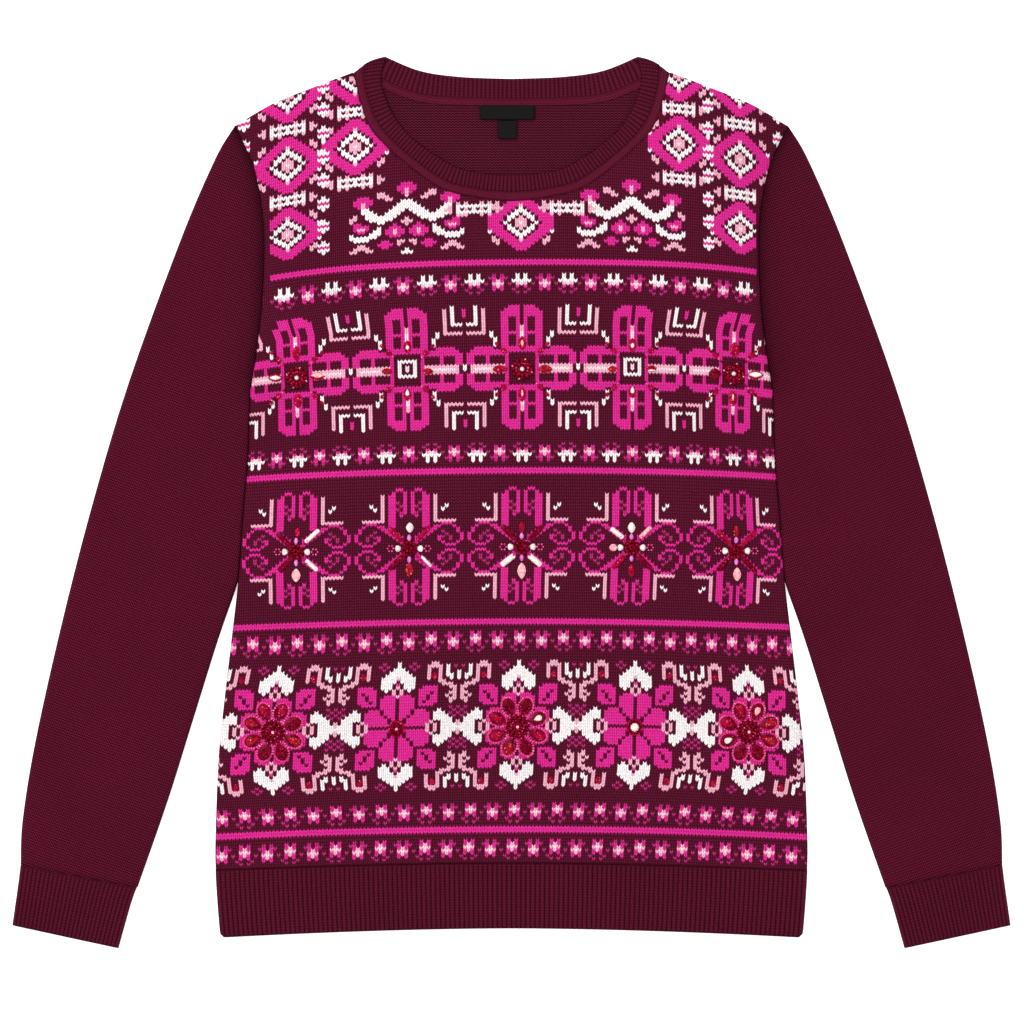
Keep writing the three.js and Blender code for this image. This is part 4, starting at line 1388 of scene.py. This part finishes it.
@dataclass
class Stones:
    """Stones of one colour, joined in one mesh."""

    name: str
    points: list[np.ndarray] = field(default_factory=list)
    faces: list[np.ndarray] = field(default_factory=list)
    count: int = 0

    def add(
        self, cut: Cut, x: float, y: float, length: float, width: float, turn: float, height: float
    ) -> None:
        """Adds a stone.

        Its foot, girdle and table are outlines of even corners round a shape, where a corner's
        reach is the cut's formula of its angle, and a point closes it above and below.

        Args:
            cut: The shape.
            x: Its middle across the garment.
            y: Its middle along it.
            length: Its length.
            width: Its width.
            turn: The way its length points, in degrees.
            height: How far it stands.
        """
        sides, spread, rise = (12, (0.92, 1.0, 0.55), (0.0, 0.35, 1.0))
        if cut is Cut.SEED:
            sides, spread, rise = (8, (0.7, 1.0, 0.6), (0.0, 0.5, 0.92))
        angle = np.arange(sides) / sides * TAU
        across, side = np.cos(angle), np.sin(angle)
        if cut is Cut.MARQUISE:
            side = side * (1 - 0.42 * across**2)
        elif cut is Cut.TEARDROP:
            side = side * (0.9 + 0.4 * across) * np.where(across < -0.6, 0.6, 1)
        elif cut is Cut.BUGLE:
            across = np.sign(across) * np.abs(across) ** 0.35
            side = np.sign(side) * np.abs(side) ** 0.6
        for share, up in zip(spread, rise):
            outline = turned(x, y, turn, across * share * length / 2, side * share * width / 2)
            self.points.append(np.stack([*outline, np.full(sides, FRONT_TOP + up * height)], axis=1))
        self.points.append(np.array([[x, y, FRONT_TOP + height], [x, y, FRONT_TOP]]))
        ring = np.arange(sides)
        after = (ring + 1) % sides
        tip, root = np.full(sides, 3 * sides), np.full(sides, 3 * sides + 1)
        self.faces += [
            self.count + np.stack(corners, axis=1) for corners in (
                (ring, after, after + sides, ring + sides),
                (ring + sides, after + sides, after + 2 * sides, ring + 2 * sides),
                (ring + 2 * sides, after + 2 * sides, tip),
                (after, ring, root),
            )
        ]
        self.count += 3 * sides + 2

    def ring(self, x: float, y: float, length: float, width: float, turn: float, size: float) -> None:
        """Adds seed beads side by side round an oval, as many as its length all round holds."""
        mean = math.sqrt((3 * length + width) * (length + 3 * width)) / 2
        count = round(math.pi * (3 * (length + width) / 2 - mean) / size)
        for step in range(count):
            angle = TAU * step / count
            oval = math.cos(angle) * length / 2, math.sin(angle) * width / 2
            self.add(Cut.SEED, *turned(x, y, turn, *oval), size, size, 0, size * 0.8)

    def build(self, material: bpy.types.Material) -> bpy.types.Object:
        """Joins the stones in one piece with flat facets.

        Args:
            material: The stones' finish.

        Returns:
            The piece.
        """
        mesh = bpy.data.meshes.new(self.name)
        faces = [face for block in self.faces for face in block.tolist()]
        mesh.from_pydata(np.concatenate(self.points) * MM, [], faces)
        piece = as_piece(self.name, mesh)
        mesh.shade_flat()
        dress(piece, material, "front_panel")
        return piece


class Gem(Enum):
    """The stones' kinds, each with its deep screen colour, the lighter one of its painted facet light
    and its painted glint colour.
    """

    GARNET = ((74, 0, 18), (132, 4, 32), (206, 40, 76))
    RUBY = ((124, 0, 36), (180, 8, 58), (250, 110, 130))
    AMBER = ((124, 2, 30), (184, 24, 48), (250, 150, 96))
    OPAL = ((240, 130, 160), (255, 205, 190), (255, 250, 240))
    CRYSTAL = ((216, 200, 196), (250, 242, 234), (255, 255, 255))
    LILAC = ((214, 90, 190), (240, 160, 225), (255, 230, 250))
    ROSE = ((204, 36, 112), (244, 92, 160), (255, 196, 224))

    def finish(self) -> StoneFinish:
        """Returns the kind's finish."""
        deep, bright, painted_glint = (linear(*colour) for colour in self.value)
        return StoneFinish(f"{self.name.lower()}_stone", deep, bright, painted_glint)


StoneRow = tuple[Gem, Cut, float, float, float, float, float]
GEM_OF_MARK = dict(zip("GRAOCLP", Gem))
CUT_OF_MARK = dict(zip("mtbs", Cut))

# Stones by their motif's wale, parted by commas: the marks of kind and cut, x and y from the
# motif's middle, length, width and turn
WINDOW_STONES = {
    -60: (
        "Rm 0 18 12 6.2 90, Rm 0.8 -16.8 11.4 6.4 90, Rm -15.7 0 11 6 0,"
        "Cm -15.7 0 9.4 4.4 0, Rm 15.5 1 11.4 6.6 0, Om 15.5 1.6 9.8 4.6 0"
    ),
    -30: (
        "Rm 0 18 9.6 5.8 90, Cm 0 17.6 4.8 3.6 90, Rm 0 -17 9.6 5.8 90,"
        "Ct 0 -15.8 6 4 270, Am -15 0 8.4 5 0, Am 15 0 8.4 5 0"
    ),
    0: (
        "Am 0 19.2 10.4 6.2 90, Om 0 19.2 6.4 3.2 90, Rm 0 -18.4 11.4 5.8 90,"
        "Om 0 -17.8 7 2.4 90, Rm -16.3 0 11.4 6.2 0, Am 16.8 0 11 6.8 0"
    ),
    30: (
        "Rm 0 17.9 10.4 6 90, Cm 0 17.4 5 3.8 90, Rm 0 -16.8 9.2 5.8 90,"
        "Ct 0 -15.6 6 4 270, Am -14.5 0 7.6 5 0, Am 14.1 0.6 7.6 5 0,"
        "Cm 14.1 -0.8 5.6 1.8 0"
    ),
    60: (
        "Rm 0.8 17.6 11.4 7.4 90, Rm -0.6 -18 12.2 6.2 90, Om -0.6 -17.4 7.6 2.2 90,"
        "Gm -13.9 0 9.4 8.4 0, Rm 15.9 -1 12.4 6.8 0, Cm 15.9 -0.8 10.6 5 0"
    ),
}
CROSS_STONES = {
    -60: (
        "Gb -8.6 8.6 14 4.8 135, Cb 11.8 11.8 12.6 4.2 42, Cb 11.4 -9.8 10.6 4.2 -42,"
        "Gb -7.8 -9 13 5 225, Rm 1 14.3 7.2 4.4 90, Om 0 -17.2 10 6.6 90"
    ),
    -30: (
        "Rb -10 10.4 13 4.8 135, Rb 10.6 11.4 13 4 48, Cb 12.7 -9.4 9.4 3 -46,"
        "Gb -9.4 -10.2 14 5 225, Cm 0.5 15.5 7.6 5.6 90, Am 0 -15.5 11.4 5.8 90"
    ),
    0: (
        "Gb -9.4 10.6 14 5.4 135, Gb 10.6 10.4 14 4.8 45, Cb 9.8 -9.9 10.8 5.2 -40,"
        "Cb -10.2 -9.8 11.4 5.2 218, Rm 0 14.3 8 4.8 90, Om 0 -17.6 12 6.4 90"
    ),
    30: (
        "Cb -10.6 10.6 10.6 4.6 142, Ob 10.2 11.2 10.4 4 45, Gb 9.4 -10.6 14 5.2 -46,"
        "Rb -9.4 -10.6 12 4.6 225, Cm 0 14.7 8 5.6 90, Rm 0 -17 9.8 4.8 90,"
        "Os -13.5 0 5.8 5.4 0"
    ),
    60: (
        "Rb -9.4 10 13 4.8 135, Rb 9.6 9.6 13 4.4 45, Gb 9.4 -10.2 14 5 -46,"
        "Gb -9 -9.6 13 4.8 225, Am 0 14.3 9 4.8 90, Om 0.6 -17.2 10 6 90"
    ),
}


# The kind of the stone on each petal of a jewelled rose, by the rose's order from the left
PETAL_GEMS = {0: "GRRAAGGA", 2: "CGGRRAGR", 4: "AORRCGGA"}
PALE_GEMS = (Gem.CRYSTAL, Gem.OPAL)


def stone_rows(text: str) -> list[StoneRow]:
    """Reads the stones that a table's text holds."""
    rows = []
    for part in text.split(","):
        marks, *numbers = part.split()
        rows.append((GEM_OF_MARK[marks[0]], CUT_OF_MARK[marks[1]], *map(float, numbers)))
    return rows


@dataclass
class Beadwork:
    """The stones and beads sewn to three bands of the front."""

    front: FrontPanel
    petals: int = 8
    petal_reach: float = 15.6
    window_course: float = 171.5
    cross_course: float = 109.5
    rose_course: float = 47.5
    stones: dict[Gem, Stones] = field(default_factory=lambda: {
        gem: Stones(f"{gem.name.lower()}_stones") for gem in Gem
    })

    def sew(self) -> None:
        """Places every stone on its motif."""
        for wale, text in WINDOW_STONES.items():
            place = self.middle(wale, self.window_course)
            self.table(text, *place)
            self.window_corners(*place, jewelled=wale % 60 == 0)
        for wale, text in CROSS_STONES.items():
            place = self.middle(wale, self.cross_course)
            self.table(text, *place)
            self.cross_heart(*place)
        for order, wale in enumerate(range(-64, 65, 32)):
            place = self.middle(wale, self.rose_course)
            self.hooks(wale)
            if order in PETAL_GEMS:
                self.jewelled_rose(*place, PETAL_GEMS[order])
            else:
                self.rose_heart(*place, pearl=wale > 0)

    def middle(self, wale: float, course: float) -> tuple[float, float]:
        """Returns the place of a motif's middle."""
        x, y = self.front.spot(wale, course)
        return float(x), float(y)

    def table(self, text: str, x: float, y: float) -> None:
        """Sews a table's stones round a motif's middle, later ones on top of a larger one."""
        for gem, cut, across, along, length, width, turn in stone_rows(text):
            if cut is Cut.BUGLE:
                length, width = 1.1 * length, 0.8 * width
            height = 2.0 if gem in PALE_GEMS else 1.5
            self.stones[gem].add(cut, x + across, y + along, length, width, turn, height)

    def pearl(self, gem: Gem, x: float, y: float, size: float, height: float) -> None:
        """Sews one round bead."""
        self.stones[gem].add(Cut.SEED, x, y, size, size, 0, height)

    def rings(self, text: str, x: float, y: float, height: float = 0.0) -> None:
        """Sews rings of seed beads round a middle.

        Args:
            text: The rings, parted by commas: a kind's mark, the radius, the number of beads,
                a bead's width and the first one's angle in degrees.
            x: The middle across.
            y: The middle along.
            height: How far the beads stand, or 0 for three quarters of their width.
        """
        for part in text.split(","):
            mark, *numbers = part.split()
            reach, count, size, start = map(float, numbers)
            for step in range(int(count)):
                place = turned(x, y, start + 360 * step / count, reach)
                self.pearl(GEM_OF_MARK[mark], *place, size, height or 0.75 * size)

    def window_corners(self, x: float, y: float, jewelled: bool) -> None:
        """Sews beads between a window flower's petals, and a cluster on some middles."""
        for turn in (45, 135, 225, 315):
            for reach, size, gem in (
                (12.6, 2.2, Gem.GARNET), (15.2, 2.2, Gem.ROSE), (19.2, 5.0, Gem.RUBY),
                (23.0, 2.2, Gem.GARNET), (26.2, 3.8, Gem.RUBY),
            ):
                place = turned(x, y, turn, reach)
                self.stones[gem].add(Cut.SEED, *place, size, size * 0.75, turn, 1.4)
        if jewelled:
            self.rings("G 6.6 12 3.4 0, R 4.4 10 2.6 18, A 6 4 2 45, O 7.2 4 2 70", x, y)
            self.pearl(Gem.GARNET, x, y, 6.0, 1.2)
            self.pearl(Gem.CRYSTAL, x, y, 3.2, 2.3)

    def cross_heart(self, x: float, y: float) -> None:
        """Sews a scroll cross's middle: a dark cluster with pale stones on four sides."""
        self.rings("G 4.6 10 3.4 0, G 1.8 5 3 0, R 3.2 7 1.7 20, P 5.4 8 1.5 10", x, y)
        for side in (-1, 1):
            self.stones[Gem.CRYSTAL].add(
                Cut.TEARDROP, x + side * 7.8, y, 5.0, 5.0, 90 - 90 * side, 1.8
            )
            self.stones[Gem.LILAC].add(Cut.MARQUISE, x, y + side * 7.9, 5.2, 3.0, 90, 1.5)
            self.rings("P 2.2 6 1.5 0", x + side * 13.6, y)
            for turn in (45, 135):
                for reach in (5.6, 8.6, 11.6):
                    self.pearl(Gem.RUBY, *turned(x, y, turn * side, reach), 1.5, 1.9)

    def jewelled_rose(self, x: float, y: float, kinds: str) -> None:
        """Sews teardrops ringed with seed beads on a rose's petals, and a bead cluster."""
        for petal in range(self.petals):
            turn = 22.5 + 45 * petal
            gem = GEM_OF_MARK[kinds[petal]]
            place = turned(x, y, turn, self.petal_reach)
            size = (7.4, 5.2) if gem in PALE_GEMS else (10.4, 6.8)
            self.stones[Gem.GARNET].add(Cut.TEARDROP, *place, 13.6, 9.8, turn, 1.3)
            self.stones[gem].add(Cut.TEARDROP, *turned(*place, turn, 0.6), *size, turn, 2.3)
            self.stones[Gem.ROSE].ring(*place, 15.0, 11.0, turn, 1.8)
        self.rings("G 7.8 16 3.4 11, G 5 10 3.6 11, G 2 5 3.6 11", x, y)
        self.rings("P 8.8 16 1.5 198, R 6.6 12 1.6 198, P 4.6 12 1.5 138, R 3 8 1.6 135", x, y, 2.6)
        self.pearl(Gem.OPAL, x, y, 3.4, 2.9)

    def hooks(self, wale: int) -> None:
        """Sews one bead in each of the four hooks round a rose."""
        for out in (-9.4, 9.5):
            for up in (-19.0, 18.0):
                place = self.middle(wale + out, self.rose_course + up)
                self.stones[Gem.RUBY].add(Cut.MARQUISE, *place, 5.4, 4.4, 90, 1.4)

    def rose_heart(self, x: float, y: float, pearl: bool) -> None:
        """Sews a bead cluster in a plain rose's middle, with a pearl or with more beads."""
        self.rings("R 5.4 14 2.2 0, G 3.6 9 2.8 12, A 5.6 6 1.6 30", x, y)
        if pearl:
            self.stones[Gem.CRYSTAL].add(Cut.SEED, x, y, 6.6, 7.0, 0, 3.0)
        else:
            self.rings("R 2.2 6 2 0", x, y)
            self.pearl(Gem.OPAL, x, y, 2.2, 2.6)

    def build(self) -> list[bpy.types.Object]:
        """Joins each kind's stones in one piece, and returns the pieces."""
        self.sew()
        return [stones.build(gem.finish().build()) for gem, stones in self.stones.items()]


# The studio


def put_in_scene(
    name: str, data: bpy.types.ID, place: tuple[float, float, float] = (0, 0, 0)
) -> bpy.types.Object:
    """Puts a mesh, lamp or camera in the scene at a place, and returns its object."""
    thing = bpy.data.objects.new(name, data)
    bpy.context.scene.collection.objects.link(thing)
    thing.location = place
    return thing


@dataclass
class Studio:
    """A pale floor, soft lights and the camera straight overhead."""

    width_mm: float = 753.3
    lens: float = 85.0
    sensor: float = 36.0
    aim: tuple[float, float] = (0.4, -7.4)
    floor_reach: float = 12.0
    floor_level: float = -0.0003
    world_strength: float = 0.75

    def build(self) -> None:
        """Sets the floor, the lights and the camera up."""
        self.floor()
        self.lights()
        self.camera()

    def floor(self) -> None:
        """Lays a plain pale floor under the garment."""
        mesh = bpy.data.meshes.new("floor")
        corners = self.floor_reach * np.array([(-1, -1, 0), (1, -1, 0), (1, 1, 0), (-1, 1, 0)])
        mesh.from_pydata(corners + (0, 0, self.floor_level), [], [(0, 1, 2, 3)])
        floor = put_in_scene("floor", mesh)
        material, _, _ = new_material("floor_paper", {
            "Base Color": (0.9, 0.9, 0.9, 1), "Roughness": 1.0,
            "Emission Color": (1, 1, 1, 1), "Emission Strength": 0.6,
        })
        floor.data.materials.append(material)

    def lights(self) -> None:
        """Hangs one broad soft light overhead and a side light that brings out the stitches."""
        world = bpy.data.worlds.new("studio")
        bpy.context.scene.world = world
        world.use_nodes = True
        sky = world.node_tree.nodes["Background"]
        sky.inputs[0].default_value = (1, 1, 1, 1)
        sky.inputs[1].default_value = self.world_strength
        for name, place, size, power in (
            ("key", (-1.6, 1.4, 2.2), 1.6, 62.0),
            ("fill", (1.8, -1.2, 2.4), 2.4, 26.0),
        ):
            light = bpy.data.lights.new(name, "AREA")
            light.size = size
            light.energy = power
            put_in_scene(name, light, place).rotation_euler = aim_angles(-np.array(place))

    def camera(self) -> None:
        """Hangs the camera straight over the garment, so that the frame spans its width."""
        data = bpy.data.cameras.new("overhead")
        data.lens = self.lens
        data.sensor_width = self.sensor
        height = self.width_mm * MM * self.lens / self.sensor + FRONT_TOP * MM
        place = (self.aim[0] * MM, self.aim[1] * MM, height)
        bpy.context.scene.camera = put_in_scene("overhead", data, place)


def aim_angles(direction: np.ndarray) -> tuple[float, float, float]:
    """Returns the Euler angles that point a lamp's -Z along a direction."""
    flat = math.hypot(direction[0], direction[1])
    return (math.atan2(flat, -direction[2]), 0.0, math.atan2(-direction[0], direction[1]))


def main() -> None:
    """Builds every piece in order and reports it, then sets up the studio."""
    logging.basicConfig(level=logging.INFO, format="%(message)s")
    groups = {"knit": knit_group(), "purl": purl_group()}
    charted = KnitFinish("charted_knit", Yarn.GROUND.colour, charted=True).build(groups)
    plain = KnitFinish("plain_knit", linear(100, 25, 51), hollow_shade=1.6).build(groups)
    ribbed = KnitFinish("ribbed_knit", linear(96, 23, 46), hollow_shade=0.7).build(groups)
    neck_ribbed = KnitFinish(
        "neck_rib_knit", linear(88, 21, 43), relief=0.5, hollow_shade=0.6
    ).build(groups)
    inside = KnitFinish("purl_knit", linear(82, 21, 41), purl=True, hollow_shade=1.4).build(groups)
    tape = TapeFinish("woven_tape", linear(13, 13, 15)).build()
    front, welt, band = FrontPanel(), HemWelt(), Neckband()
    pieces = [BackPanel().build(inside), front.build(charted)]
    pieces += [welt.build(ribbed, front=over) for over in (False, True)]
    for side in Side:
        pieces += [Sleeve(side).build(plain), Cuff(side).build(ribbed)]
    pieces += [band.build_half(neck_ribbed, front=over) for over in (False, True)]
    pieces += [
        WovenLabel("label_tape", "label_main", -3.0, 292.2, 40.5, 10.8).build(tape),
        WovenLabel("size_tape", "label_size", -3.0, 281.1, 14.2, 14.0).build(tape),
        *Beadwork(front).build(),
    ]
    for piece in pieces:
        LOG.info("%s: %d faces", piece.name, len(piece.data.polygons))
    Studio().build()
    bpy.context.scene.view_settings.view_transform = "Standard"


if __name__ == "__main__":
    main()
